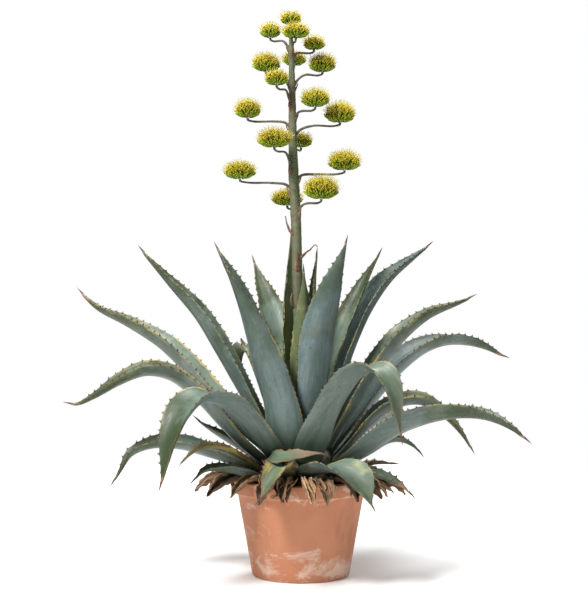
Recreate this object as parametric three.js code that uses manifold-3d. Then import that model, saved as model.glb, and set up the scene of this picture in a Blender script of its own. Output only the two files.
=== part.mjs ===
// A century plant (Agave americana) in bloom, in a plain terracotta pot filled with soil.
// Millimetres, +Z up. The origin is the centre of the pot's flat underside.
import * as THREE from "three";
import { mergeVertices } from "three/addons/utils/BufferGeometryUtils.js";
import Module from "manifold-3d";

const library = await Module();
library.setup();

// Driving dimensions of the pot and its soil
const POT_HEIGHT = 320;
const POT_FOOT_RADIUS = 160;
const POT_NECK_RADIUS = 209;
const RIM_RADIUS = 230;
const RIM_DEPTH = 46;
const RIM_ROUNDING = 5;
const POT_WALL = 15;
const POT_SIDES = 32;
const DRAIN_RADIUS = 8;
const DRAIN_CIRCLE = 70;
const DRAIN_COUNT = 3;
const SOIL_TOP = 296;
const SOIL_UNEVENNESS = 3;

// Driving dimensions of the stem: [height, radius] of the short thick base that bears the leaves
const GAP = 0.3;
const ROOT_DEPTH = 60;
const CAUDEX = [
  [SOIL_TOP - ROOT_DEPTH, 86],
  [SOIL_TOP + 4, 98],
  [330, 104],
  [388, 104],
  [404, 98],
  [424, 83],
  [446, 60],
  [466, 36],
  [482, 17],
];
const CAUDEX_SIDES = 28;

// The flower stalk leans a little: [height, sideways place, radius]
const STALK = [
  [440, 0, 18],
  [620, -3, 17.5],
  [860, -8, 17],
  [1100, -14, 16.8],
  [1200, -17, 16.6],
  [1313, -24, 16.4],
  [1437, -27, 13.4],
  [1568, -28, 11.2],
  [1706, -31, 8.4],
  [1804, -33, 5.5],
];
const STALK_SIDES = 12;
const BRANCH_SIDES = 5;
const BRANCH_STEPS = 5;
const BRANCH_SOCKET = 6;
const BRANCH_RADIUS = 4.4;
const BRANCH_TIP_RADIUS = 3.2;

// Leaf build: shares of the length or of the full width
const LEAF_THICKNESS = [[0, 0.135], [0.25, 0.1], [0.6, 0.06], [1, 0.04]];
const LEAF_OUTLINE = [
  [0, 0.56],
  [0.12, 0.56],
  [0.3, 0.84],
  [0.48, 1],
  [0.64, 0.93],
  [0.8, 0.6],
  [0.92, 0.24],
  [1, 0.02],
];
const TAPERED_OUTLINE = [
  [0, 1],
  [0.12, 1],
  [0.3, 0.82],
  [0.48, 0.72],
  [0.64, 0.55],
  [0.8, 0.32],
  [0.92, 0.14],
  [1, 0.02],
];
const BASE_CURL = 0.55;
const FULL_CURL = 1;
const CURL_GROWTH = 0.38;
const TURN_GROWTH = 0.5;
const FOOT_SHARE = 0.82;
const FOOT_LENGTH = 0.2;
const THINNEST_LEAF = 4.5;
const THICKEST_SECTION = 1.7;
const LEAF_STATIONS = [0, 0.1, 0.21, 0.33, 0.45, 0.57, 0.69, 0.81, 0.91];
const STATION_GAP = 0.01;
const INNER_LINES = [-0.55, 0, 0.55];
const UPPER_SHARE = 0.25;
const SPINE_LENGTH = 32;
const SPINE_RADIUS = 3.2;
const TOOTH_PITCH = 56;
const TOOTH_HEIGHT = 5.5;
const TOOTH_SHARE = 0.1;
const TOOTH_BASE = 17;
const FIRST_TOOTH = 0.1;
const LAST_TOOTH = 0.94;
const SEAT_CLEARANCE = 0.45;
const SEAT_SEARCH = 90;
const SEAT_STEPS = 30;
const CAP_DIVISIONS = 8;

const MATERIALS = {
  leaf: { color: 0x7d9682, roughness: 0.6, metalness: 0 },
  stem: { color: 0x8b9272, roughness: 0.7, metalness: 0 },
  flower: { color: 0xc9c04a, roughness: 0.8, metalness: 0 },
  dry: { color: 0x8a6a48, roughness: 0.85, metalness: 0 },
  soil: { color: 0x4a3a2c, roughness: 0.95, metalness: 0 },
  pot: { color: 0xb5694a, roughness: 0.85, metalness: 0 },
};

// Small helpers
const radians = THREE.MathUtils.degToRad;

// A repeatable stream of numbers from 0 to 1.
function randomStream(seed) {
  let state = seed >>> 0;
  return () => {
    state = (state + 0x6d2b79f5) >>> 0;
    let mixed = Math.imul(state ^ (state >>> 15), state | 1);
    mixed ^= mixed + Math.imul(mixed ^ (mixed >>> 7), mixed | 61);
    return ((mixed ^ (mixed >>> 14)) >>> 0) / 4294967296;
  };
}

// Straight-line reading of a [place, value] list.
function readLine(list, place, column = 1) {
  if (place <= list[0][0]) return list[0][column];
  for (let i = 1; i < list.length; i++) {
    const [before, after] = [list[i - 1], list[i]];
    if (place <= after[0]) {
      const share = (place - before[0]) / (after[0] - before[0]);
      return before[column] + (after[column] - before[column]) * share;
    }
  }
  return list[list.length - 1][column];
}

// Smooth reading of a [place, value] list, with slopes taken from the neighbours.
function readCurve(list, place) {
  const last = list.length - 1;
  const at = Math.min(Math.max(place, list[0][0]), list[last][0]);
  let i = 1;
  while (i < last && at > list[i][0]) i++;
  const slope = (k) => {
    const [low, high] = [list[Math.max(k - 1, 0)], list[Math.min(k + 1, last)]];
    return (high[1] - low[1]) / (high[0] - low[0]);
  };
  const span = list[i][0] - list[i - 1][0];
  const s = (at - list[i - 1][0]) / span;
  const [a, b] = [list[i - 1][1], list[i][1]];
  return (
    a * (2 * s ** 3 - 3 * s ** 2 + 1) +
    slope(i - 1) * span * (s ** 3 - 2 * s ** 2 + s) +
    b * (3 * s ** 2 - 2 * s ** 3) +
    slope(i) * span * (s ** 3 - s ** 2)
  );
}

// A geometry from corner points and triangles.
function meshOf(points, triangles) {
  const geometry = new THREE.BufferGeometry();
  geometry.setFromPoints(points);
  geometry.setIndex(triangles.flat());
  return geometry;
}

// A closed geometry as a solid for joins and cuts, turned inside in if its faces point inwards.
function solidOf(geometry) {
  const bare = geometry.clone();
  bare.deleteAttribute("normal");
  bare.deleteAttribute("uv");
  const merged = mergeVertices(bare, 1e-3);
  const build = () =>
    new library.Manifold(
      new library.Mesh({
        numProp: 3,
        vertProperties: merged.attributes.position.array,
        triVerts: new Uint32Array(merged.index.array),
      }),
    );
  const made = build();
  if (made.volume() > 0) return made;
  const index = merged.index.array;
  for (let i = 0; i < index.length; i += 3) {
    [index[i + 1], index[i + 2]] = [index[i + 2], index[i + 1]];
  }
  return build();
}

// The largest body of a solid, as a geometry.
function geometryOf(solid) {
  const bodies = solid.decompose().sort((a, b) => b.volume() - a.volume());
  const mesh = bodies[0].getMesh();
  const geometry = new THREE.BufferGeometry();
  geometry.setAttribute("position", new THREE.BufferAttribute(mesh.vertProperties, 3));
  geometry.setIndex(new THREE.BufferAttribute(mesh.triVerts, 1));
  return geometry;
}

function fuse(geometries) {
  return geometries.map(solidOf).reduce((all, next) => all.add(next));
}

function pieceOf(name, geometry, look) {
  const material = new THREE.MeshStandardMaterial({ ...MATERIALS[look], flatShading: true });
  geometry.computeVertexNormals();
  const mesh = new THREE.Mesh(geometry, material);
  mesh.name = name;
  return mesh;
}

// A round rod through points, with a radius at each, flat at both ends.
function rod(points, radii, sides) {
  const rings = points.map((point, i) => {
    const ahead = points[Math.min(i + 1, points.length - 1)];
    const behind = points[Math.max(i - 1, 0)];
    const along = ahead.clone().sub(point).normalize();
    along.add(point.clone().sub(behind).normalize()).normalize();
    const side = new THREE.Vector3(0, 1, 0).cross(along);
    if (side.lengthSq() < 0.05) side.set(1, 0, 0).cross(along);
    side.normalize();
    const up = along.clone().cross(side);
    return Array.from({ length: sides }, (_, k) => {
      const turn = (2 * Math.PI * k) / sides;
      return point
        .clone()
        .addScaledVector(side, radii[i] * Math.cos(turn))
        .addScaledVector(up, radii[i] * Math.sin(turn));
    });
  });
  const triangles = [];
  for (let i = 0; i + 1 < rings.length; i++) {
    for (let k = 0; k < sides; k++) {
      const next = (k + 1) % sides;
      const [a, b] = [i * sides + k, i * sides + next];
      const [c, d] = [a + sides, b + sides];
      triangles.push([a, b, d], [a, d, c]);
    }
  }
  const top = (rings.length - 1) * sides;
  for (let k = 1; k + 1 < sides; k++) {
    triangles.push([0, k + 1, k], [top, top + k, top + k + 1]);
  }
  return meshOf(rings.flat(), triangles);
}

// Leaves

// A leaf lies in the upright plane at its azimuth. Its knots are [reach, height, drift]: the
// distance from the plant's axis, the height, and the way it strays sideways from that plane.
function leafLine(leaf) {
  const [across, along] = [Math.cos(radians(leaf.azimuth)), Math.sin(radians(leaf.azimuth))];
  const points = leaf.knots.map(
    ([reach, height, drift = 0]) =>
      new THREE.Vector3(reach * across - drift * along, reach * along + drift * across, height),
  );
  return new THREE.CatmullRomCurve3(points);
}

// The leaf's own directions at a share of its length: along it, across it, and out of its inner face.
function leafFrame(leaf, line, share) {
  const along = line.getTangentAt(share);
  const { azimuth, heading = azimuth } = leaf;
  const turn = radians(
    THREE.MathUtils.lerp(azimuth, heading, THREE.MathUtils.smoothstep(share, 0, TURN_GROWTH)),
  );
  const across = new THREE.Vector3(-Math.sin(turn), Math.cos(turn), 0);
  across.addScaledVector(along, -across.dot(along)).normalize();
  across.applyAxisAngle(along, radians((leaf.twist ?? 0) * share + (leaf.roll ?? 0)));
  const inward = along.clone().cross(across);
  return { place: line.getPointAt(share), along, across, inward };
}

function halfWidth(leaf, length, share) {
  const spineStart = 1 - SPINE_LENGTH / length;
  if (leaf.spine !== false && share >= spineStart) {
    return (SPINE_RADIUS * (1 - share)) / (1 - spineStart);
  }
  const body = leaf.spine === false ? share : share / spineStart;
  return Math.max((leaf.width / 2) * readCurve(leaf.outline, body), SPINE_RADIUS);
}

// Half the angle that the section of the blade bends through: flat at its seat, then channelled.
function curlAt(leaf, share) {
  const full = leaf.curl ?? FULL_CURL;
  if (leaf.seated === false) return full;
  return THREE.MathUtils.lerp(BASE_CURL, full, THREE.MathUtils.smoothstep(share, 0, CURL_GROWTH));
}

// A point of the curved blade: u runs from -1 to 1 across it, lift is 1 on the inner face, -1 on
// the outer one and 0 at the middle.
function bladePoint(leaf, line, length, share, u, lift) {
  const frame = leafFrame(leaf, line, share);
  const half = halfWidth(leaf, length, share);
  const curl = curlAt(leaf, share);
  const bend = half / curl;
  const full = (leaf.thickness ?? 1) * leaf.width * readLine(LEAF_THICKNESS, share);
  const thinnest = leaf.thinnest ?? THINNEST_LEAF;
  const thick = Math.max(Math.min(full, half * THICKEST_SECTION), thinnest) * (1 - u * u);
  const offset = lift > 0 ? thick * UPPER_SHARE : lift < 0 ? -thick * (1 - UPPER_SHARE) : 0;
  const normal = frame.inward
    .clone()
    .multiplyScalar(Math.cos(curl * u))
    .addScaledVector(frame.across, -Math.sin(curl * u));
  return frame.place
    .clone()
    .addScaledVector(frame.across, bend * Math.sin(curl * u))
    .addScaledVector(frame.inward, bend * (1 - Math.cos(curl * u)))
    .addScaledVector(normal, offset);
}

// The shares of the leaf's length at which its faces have points, the last at the spine's root.
function stationsOf(leaf, length) {
  const all = leaf.stations ?? LEAF_STATIONS;
  if (leaf.spine === false) return all;
  const spineRoot = 1 - SPINE_LENGTH / length;
  return [...all.filter((share) => share < spineRoot - STATION_GAP), spineRoot];
}

// The margin from base to end spine: [share, height of the tooth there, middle of that tooth].
function marginOf(leaf, length) {
  const margin = [[0, 0, 0]];
  const end = 1 - SPINE_LENGTH / length;
  if (leaf.teeth !== false) {
    const toothed = LAST_TOOTH - FIRST_TOOTH;
    const count = Math.floor((length * toothed) / TOOTH_PITCH);
    const foot = TOOTH_BASE / 2 / length;
    for (let i = 0; i < count; i++) {
      const share = FIRST_TOOTH + (toothed * (i + 0.5)) / count;
      const height = Math.min(TOOTH_HEIGHT, TOOTH_SHARE * halfWidth(leaf, length, share));
      margin.push([share - foot, 0, share], [share, height, share], [share + foot, 0, share]);
    }
    margin.push([end, 0, end]);
  } else {
    for (const share of stationsOf(leaf, length).slice(1)) margin.push([share, 0, share]);
  }
  return margin;
}

// How far a point lies outside the stem's many-sided surface.
function outsideStem(point) {
  const side = (2 * Math.PI) / CAUDEX_SIDES;
  const turn = Math.atan2(point.y, point.x) + 2 * Math.PI;
  const fromMiddle = (turn % side) - side / 2;
  const flat = (readLine(CAUDEX, point.z) * Math.cos(side / 2)) / Math.cos(fromMiddle);
  return Math.hypot(point.x, point.y) - flat;
}

// The shortest slide, from -SEAT_SEARCH to SEAT_SEARCH, at which a growing measure reaches a limit.
function slideUntil(measure, limit) {
  let [low, high] = [-SEAT_SEARCH, SEAT_SEARCH];
  if (measure(low) > limit || measure(high) < limit) return 0;
  for (let i = 0; i < SEAT_STEPS; i++) {
    const middle = (low + high) / 2;
    if (measure(middle) > limit) high = middle;
    else low = middle;
  }
  return high;
}

// Seats the leaf's base on the stem: each corner slides to the surface, then the whole cap backs
// off until its flat facets are just clear.
function seatBase(points, facets, along) {
  const corners = [...new Set(facets.flat())];
  for (const corner of corners) {
    const at = (slide) => points[corner].clone().addScaledVector(along, slide);
    points[corner] = at(slideUntil((slide) => outsideStem(at(slide)), 0));
  }
  const spots = [];
  for (const [a, b, c] of facets) {
    for (let i = 0; i <= CAP_DIVISIONS; i++) {
      for (let j = 0; i + j <= CAP_DIVISIONS; j++) {
        const spot = points[a].clone().multiplyScalar(i / CAP_DIVISIONS);
        spot.addScaledVector(points[b], j / CAP_DIVISIONS);
        spots.push(spot.addScaledVector(points[c], 1 - (i + j) / CAP_DIVISIONS));
      }
    }
  }
  const nearest = (slide) =>
    Math.min(...spots.map((spot) => outsideStem(spot.clone().addScaledVector(along, slide))));
  const shift = slideUntil(nearest, SEAT_CLEARANCE);
  for (const corner of corners) points[corner].addScaledVector(along, shift);
}

// Triangles between two lines of points: moves tell which line steps on next.
function strip(first, second, moves) {
  const triangles = [];
  let [i, j] = [0, 0];
  for (const onFirst of moves) {
    if (onFirst) triangles.push([first[i], first[++i], second[j]]);
    else triangles.push([first[i], second[j + 1], second[j++]]);
  }
  return triangles;
}

function leafGeometry(leaf) {
  const line = leafLine(leaf);
  const length = line.getLength();
  const stations = stationsOf(leaf, length);
  const margin = marginOf(leaf, length);
  const points = [];
  const keep = (point) => points.push(point) - 1;

  const edge = (side) =>
    margin.map(([share, tooth]) => {
      const frame = leafFrame(leaf, line, share);
      const curl = curlAt(leaf, share);
      const outward = frame.across
        .clone()
        .multiplyScalar(side * Math.cos(curl))
        .addScaledVector(frame.inward, Math.sin(curl));
      const point = bladePoint(leaf, line, length, share, side, 0);
      return keep(point.addScaledVector(outward, tooth));
    });
  const inner = (u, lift) =>
    stations.map((share) => keep(bladePoint(leaf, line, length, share, u, lift)));

  const [left, right] = [edge(-1), edge(1)];
  const upper = INNER_LINES.map((u) => inner(u, 1));
  const lower = INNER_LINES.map((u) => inner(u, -1));
  const tip = keep(line.getPointAt(1));

  const marginMoves = [];
  for (let i = 0, j = 0; i + 1 < margin.length || j + 1 < stations.length; ) {
    const nextMargin = i + 1 < margin.length ? margin[i + 1][2] : Infinity;
    const halfway = j + 1 < stations.length ? (stations[j] + stations[j + 1]) / 2 : Infinity;
    const onMargin = j + 1 === stations.length || nextMargin <= halfway;
    marginMoves.push(onMargin);
    if (onMargin) i++;
    else j++;
  }
  const flip = (moves) => moves.map((onFirst) => !onFirst);
  const middleMoves = stations.slice(1).flatMap(() => [true, false]);
  const ring = [
    [left, upper[0], marginMoves],
    [upper[0], upper[1], middleMoves],
    [upper[1], upper[2], flip(middleMoves)],
    [upper[2], right, flip(marginMoves)],
    [right, lower[2], marginMoves],
    [lower[2], lower[1], middleMoves],
    [lower[1], lower[0], flip(middleMoves)],
    [lower[0], left, flip(marginMoves)],
  ];
  const triangles = ring.flatMap(([first, second, moves]) => [
    ...strip(first, second, moves),
    [first.at(-1), tip, second.at(-1)],
  ]);
  const [u1, u2, u3] = upper.map((each) => each[0]);
  const [l1, l2, l3] = lower.map((each) => each[0]);
  const cap = [
    [left[0], u1, l1],
    [u1, u2, l2],
    [u1, l2, l1],
    [u2, u3, l3],
    [u2, l3, l2],
    [u3, right[0], l3],
  ];
  if (leaf.seated !== false) seatBase(points, cap, leafFrame(leaf, line, 0).along);
  return meshOf(points, [...triangles, ...cap]);
}

// Living leaves, outermost first within each side of the plant: azimuth is counted from the
// right (+X) and -90 faces the front. The first knot's reach is the stem's radius there.
function seatKnot(height) {
  return [readLine(CAUDEX, height), height, 0];
}

const LEAVES = [
  { name: "leaf_left_long", azimuth: 162.5, width: 178, roll: 6, seat: 402, base: 0.56,
    knots: [[165, 444], [258, 528], [336, 598], [403, 664], [492, 740], [618, 814], [730, 869],
      [808, 940]] },
  { name: "leaf_left_wave", azimuth: -169.5, width: 170, roll: -3, seat: 364, base: 0.56,
    knots: [[190, 433], [261, 502], [345, 590], [430, 653], [510, 667], [590, 640], [675, 595],
      [730, 574], [775, 580]] },
  { name: "leaf_left_high", azimuth: 180, width: 176, roll: -3, seat: 426, base: 0.7,
    knots: [[112, 480], [150, 535], [207, 628], [272, 737], [342, 849], [426, 950], [535, 1084]] },
  { name: "leaf_back_left_high", azimuth: 155, width: 140, seat: 446, base: 0.66,
    knots: [[108, 540], [152, 660], [184, 775], [214, 870], [250, 960], [289, 1038],
      [323, 1098]] },
  { name: "leaf_front_left_high", azimuth: -116, width: 166, tapered: true, seat: 415, base: 0.9,
    knots: [[122, 480, -6], [140, 570, -18], [172, 710, -44], [210, 845, -78], [250, 950, -108],
      [285, 1026, -138]] },
  { name: "leaf_back_high", azimuth: 98, width: 116, seat: 446, base: 0.4,
    knots: [[84, 540, 8], [140, 660, 22], [205, 770, 44], [270, 880, 72], [335, 970, 98],
      [390, 1055, 118]] },
  { name: "leaf_heart_back", azimuth: 125, width: 104, curl: 1.2, seat: 467, base: 0.5,
    knots: [[48, 560, 4], [62, 700, 2], [75, 850, -6], [85, 1000, -17], [88, 1142, -25]] },
  { name: "leaf_heart_front", azimuth: -80, width: 84, seat: 467, base: 0.5,
    knots: [[52, 560, -8], [72, 680, -10], [88, 800, -4], [98, 920, -6], [102, 1024, -10]] },
  { name: "leaf_heart_right", azimuth: 20, width: 80, curl: 1.2, seat: 467, base: 0.42,
    knots: [[46, 560, 5], [52, 700, 12], [56, 860, 20], [60, 980, 27], [70, 1078, 32]] },
  { name: "leaf_front_right_high", azimuth: -61, width: 146, seat: 444, base: 0.8,
    knots: [[84, 540, 0], [113, 660, -4], [143, 780, -2], [178, 900, 8], [208, 1030, 30],
      [230, 1115, 42]] },
  { name: "leaf_right_blade", azimuth: 42, width: 106, seat: 452, base: 0.48,
    knots: [[80, 560, -5], [120, 690, -18], [165, 800, -30], [215, 900, -42], [265, 990, -52],
      [320, 1078, -60]] },
  { name: "leaf_right_high", azimuth: 26, width: 162, seat: 439, base: 0.6,
    knots: [[104, 555], [151, 665], [199, 775], [251, 868], [330, 965], [420, 1036],
      [508, 1100]] },
  { name: "leaf_right_rising", azimuth: 5, width: 178, roll: 1, seat: 420, base: 0.56,
    knots: [[140, 507], [210, 607], [270, 691], [340, 775], [425, 846], [525, 892], [588, 922]] },
  { name: "leaf_right_arch", azimuth: 25.5, width: 172, roll: -2, seat: 399, base: 0.5,
    knots: [[155, 453], [225, 523], [303, 602], [378, 670], [456, 719], [540, 745], [608, 748],
      [698, 733], [818, 688]] },
  { name: "leaf_front_right_bent", azimuth: -74, heading: -42, width: 148, curl: 0.8, seat: 388,
    base: 0.84,
    knots: [[132, 432, 2], [185, 513, 22], [252, 605, 55], [320, 680, 96], [372, 694, 130],
      [420, 645, 158], [450, 548, 176], [462, 472, 187]] },
  { name: "leaf_right_low_arch", azimuth: -26, width: 178, roll: -6, seat: 350, base: 0.56,
    knots: [[165, 382], [275, 448], [385, 505], [510, 541], [630, 545], [727, 513], [787, 470]] },
  { name: "leaf_right_drooping", azimuth: -1.5, width: 136, roll: 4, seat: 375, base: 0.44,
    knots: [[150, 421], [205, 477], [265, 530], [330, 560], [390, 565], [445, 541], [498, 497],
      [540, 449], [572, 396]] },
  { name: "leaf_right_low", azimuth: 13, width: 98, roll: 4, seat: 338,
    knots: [[165, 362], [235, 395], [300, 428], [350, 428], [395, 406], [425, 372]] },
  { name: "leaf_right_half_dry", azimuth: -5, width: 54, seat: 327,
    knots: [[160, 344], [220, 363], [275, 369], [330, 366]] },
  { name: "leaf_right_dry_end", azimuth: -27, width: 84, seat: 317,
    knots: [[155, 326], [235, 342], [310, 331], [370, 308], [410, 275]] },
  { name: "leaf_front_hanging", azimuth: -84, heading: -58, width: 158, curl: 0.7, seat: 338,
    base: 0.5,
    knots: [[150, 352, 2], [192, 368, 42], [235, 375, 88], [280, 356, 134], [332, 306, 168],
      [370, 256, 193]] },
  { name: "leaf_front_yellow", azimuth: -112, width: 92, curl: 0.9, seat: 319, base: 0.7,
    knots: [[151, 344, 10], [207, 373, 18], [257, 382, 28], [316, 362, 32], [371, 326, 29],
      [416, 290, 18]] },
  { name: "leaf_front_withered", azimuth: -126, heading: -60, width: 58, roll: 42, seat: 354,
    teeth: false, curl: 0.5,
    knots: [[170, 397, -6], [184, 408, 68], [180, 421, 140], [170, 430, 196],
      [163, 420, 230]] },
  { name: "leaf_front_left_bent", azimuth: -141, width: 168, curl: 0.8, seat: 388.5, base: 0.8,
    knots: [[165, 453], [240, 530], [328, 586], [414, 594], [470, 553], [512, 480], [538, 400],
      [562, 322]] },
  { name: "leaf_left_low_arch", azimuth: -174, width: 132, roll: -6, seat: 327, base: 0.44,
    knots: [[160, 350], [230, 376], [315, 402], [395, 424], [490, 426], [555, 400], [590, 350],
      [625, 296]] },
  { name: "leaf_left_yellow", azimuth: -155, width: 82, roll: -4, seat: 336,
    knots: [[160, 360], [215, 393], [285, 426], [355, 431], [400, 409], [430, 377]] },
  { name: "leaf_left_dark", azimuth: 167, width: 88, seat: 341,
    knots: [[145, 364], [190, 400], [245, 430], [315, 472], [372, 516]] },
  { name: "leaf_left_low", azimuth: -145, width: 94, roll: -4, seat: 315, base: 0.5,
    knots: [[160, 330], [235, 349], [315, 367], [375, 368], [428, 330]] },
  { name: "leaf_back_left_arch", azimuth: 132, width: 120, seat: 420, base: 0.42,
    knots: [[122, 500], [170, 595], [214, 674], [254, 720], [292, 732], [322, 706, -8],
      [338, 655, -20], [343, 598, -34]] },
  { name: "leaf_back_1", azimuth: 49, width: 150, seat: 337, base: 0.44,
    knots: [[180, 378], [280, 430], [390, 470], [490, 482], [575, 466], [640, 430]] },
  { name: "leaf_back_2", azimuth: 86, width: 150, seat: 322, base: 0.5,
    knots: [[170, 348], [250, 382], [350, 412], [450, 410], [540, 370], [600, 300]] },
  { name: "leaf_back_3", azimuth: 122, width: 150, seat: 336, base: 0.5,
    knots: [[180, 374], [280, 426], [380, 466], [470, 478], [545, 458]] },
  { name: "leaf_back_4", azimuth: 66, width: 168, seat: 375, base: 0.42,
    knots: [[170, 438], [250, 520], [340, 590], [440, 640], [550, 650], [640, 612], [700, 550]] },
  { name: "leaf_back_5", azimuth: 108, width: 170, seat: 382, base: 0.42,
    knots: [[165, 450], [240, 537], [330, 622], [430, 692], [540, 722], [640, 712], [720, 672]] },
  { name: "leaf_back_6", azimuth: 59, width: 150, seat: 411, base: 0.4,
    knots: [[135, 480], [203, 562], [268, 640], [322, 700], [362, 736]] },
  { name: "leaf_back_7", azimuth: 91, width: 160, seat: 422, base: 0.42,
    knots: [[125, 508], [185, 604], [255, 708], [330, 800], [410, 880], [490, 940]] },
];

function livingLeaves() {
  return LEAVES.map((leaf) => {
    const outline = (leaf.tapered ? TAPERED_OUTLINE : LEAF_OUTLINE).map(([share, value]) => [
      share,
      share < FOOT_LENGTH ? (leaf.base ?? value) * (share > 0 ? 1 : FOOT_SHARE) : value,
    ]);
    const grown = { ...leaf, outline, knots: [seatKnot(leaf.seat), ...leaf.knots] };
    return pieceOf(leaf.name, leafGeometry(grown), "leaf");
  });
}

// Dead leaves hang over the rim in four bunches, each held together by old leaf stubs.
const DRY_OUTLINE = [[0, 0.3], [0.2, 0.46], [0.5, 0.9], [0.75, 1], [0.92, 0.5], [1, 0.1]];
const DRY_STATIONS = [0, 0.25, 0.5, 0.68, 0.86];
const DRY_BUNCHES = [
  { name: "dry_leaves_left", middle: 200,
    blades: [[-26, 305, 60], [-13, 350, 70], [0, 310, 62], [13, 345, 70], [26, 305, 60]] },
  { name: "dry_leaves_front", middle: 266,
    blades: [[-22, 330, 68], [-8, 295, 60], [7, 325, 66], [21, 335, 68]] },
  { name: "dry_leaves_right", middle: 331,
    blades: [[-26, 320, 62], [-13, 345, 70], [0, 310, 62], [13, 350, 70], [26, 320, 60]] },
  { name: "dry_leaves_back", middle: 76,
    blades: [[-46, 310, 64], [-16, 330, 70], [16, 310, 66], [46, 325, 64]] },
];
const STUB_INNER = 99.5;
const STUB_OUTER = 118;
const STUB_LOW = 299.5;
const STUB_HIGH = 303.5;
const STUB_MARGIN = 8;
const STUB_STEPS = 8;
const DRY_THINNEST = 2;
const DRY_LEAST_DROOP = 16;
const DRY_DROOP_RANGE = 10;
const DRY_LEAST_CURL = 0.3;
const DRY_CURL_RANGE = 0.3;
const DRY_TWIST_RANGE = 16;
const DRY_CREST = [232, 330];

// The ring segment of dead stubs that the blades of a bunch grow from.
function stubs(middle, halfAngle) {
  const points = [];
  for (let i = 0; i <= STUB_STEPS; i++) {
    const turn = radians(middle - halfAngle + (2 * halfAngle * i) / STUB_STEPS);
    for (const [radius, height] of [
      [STUB_INNER, STUB_LOW],
      [STUB_OUTER, STUB_LOW],
      [STUB_OUTER, STUB_HIGH],
      [STUB_INNER, STUB_HIGH],
    ]) {
      points.push(new THREE.Vector3(radius * Math.cos(turn), radius * Math.sin(turn), height));
    }
  }
  const triangles = [];
  for (let i = 0; i < STUB_STEPS; i++) {
    for (let k = 0; k < 4; k++) {
      const [a, b] = [4 * i + k, 4 * i + ((k + 1) % 4)];
      triangles.push([a, b, b + 4], [a, b + 4, a + 4]);
    }
  }
  const end = 4 * STUB_STEPS;
  triangles.push([0, 2, 1], [0, 3, 2], [end, end + 1, end + 2], [end, end + 2, end + 3]);
  return meshOf(points, triangles);
}

function dryLeaves() {
  const random = randomStream(41);
  return DRY_BUNCHES.map(({ name, middle, blades }) => {
    const grown = blades.map(([aside, reach, width]) => {
      const droop = DRY_LEAST_DROOP + DRY_DROOP_RANGE * random();
      const [crestReach, crestHeight] = DRY_CREST;
      return leafGeometry({
        azimuth: middle + aside,
        width,
        curl: DRY_LEAST_CURL + DRY_CURL_RANGE * random(),
        twist: DRY_TWIST_RANGE * (random() - 0.5),
        thickness: 0.5,
        thinnest: DRY_THINNEST,
        teeth: false,
        spine: false,
        seated: false,
        outline: DRY_OUTLINE,
        stations: DRY_STATIONS,
        knots: [
          [104, (STUB_LOW + STUB_HIGH) / 2],
          [160, 313],
          [205, 328],
          DRY_CREST,
          [(crestReach + reach) / 2, crestHeight - 9 - droop / 3],
          [reach, 300 - droop],
        ],
      });
    });
    const halfAngle = blades.at(-1)[0] + STUB_MARGIN;
    const bunch = fuse([stubs(middle, halfAngle), ...grown]);
    return pieceOf(name, geometryOf(bunch), "dry");
  });
}

// Flower heads: azimuth round the stalk, reach from it, height of the seat, the drop from there
// to the branch's root, width and height of the head.
const HEADS = [
  { azimuth: 0, reach: 0, seat: 1804, drop: 0, width: 78, height: 44 },
  { azimuth: -75, reach: 58, seat: 1752, drop: 34, width: 98, height: 50 },
  { azimuth: 165, reach: 70, seat: 1763, drop: 40, width: 74, height: 52 },
  { azimuth: 12, reach: 76, seat: 1724, drop: 24, width: 78, height: 48 },
  { azimuth: -165, reach: 87, seat: 1648, drop: 40, width: 100, height: 62 },
  { azimuth: 84, reach: 78, seat: 1680, drop: 44, width: 86, height: 48 },
  { azimuth: 18, reach: 106, seat: 1653, drop: 50, width: 96, height: 62 },
  { azimuth: -125, reach: 86, seat: 1598, drop: 58, width: 86, height: 52 },
  { azimuth: -25, reach: 82, seat: 1532, drop: 28, width: 100, height: 62 },
  { azimuth: 176, reach: 147, seat: 1500, drop: 30, width: 94, height: 64 },
  { azimuth: 8, reach: 158, seat: 1486, drop: 48, width: 110, height: 70 },
  { azimuth: -122, reach: 112, seat: 1396, drop: 66, width: 120, height: 64 },
  { azimuth: 68, reach: 72, seat: 1408, drop: 50, width: 82, height: 52 },
  { azimuth: -10, reach: 169, seat: 1326, drop: 26, width: 114, height: 66 },
  { azimuth: -170, reach: 178, seat: 1298, drop: 32, width: 112, height: 60 },
  { azimuth: -45, reach: 119, seat: 1230, drop: 36, width: 122, height: 76 },
  { azimuth: 107, reach: 92, seat: 1216, drop: 38, width: 112, height: 56 },
];
const HEAD_SIDES = 9;
const HEAD_SEAT_RADIUS = 5.4;
const HEAD_CORE = 0.76;
const HEAD_MIDDLE = 0.36;
const HEAD_RINGS = [-42, -8, 26, 57];
const SHORTEST_FLORET = 0.9;

function stalkCentre(height) {
  return new THREE.Vector3(readLine(STALK, height, 1), 0, height);
}

function headSeat({ azimuth, reach, seat }) {
  const turn = radians(azimuth);
  const offset = new THREE.Vector3(reach * Math.cos(turn), reach * Math.sin(turn), 0);
  return stalkCentre(seat).add(offset);
}

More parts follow.
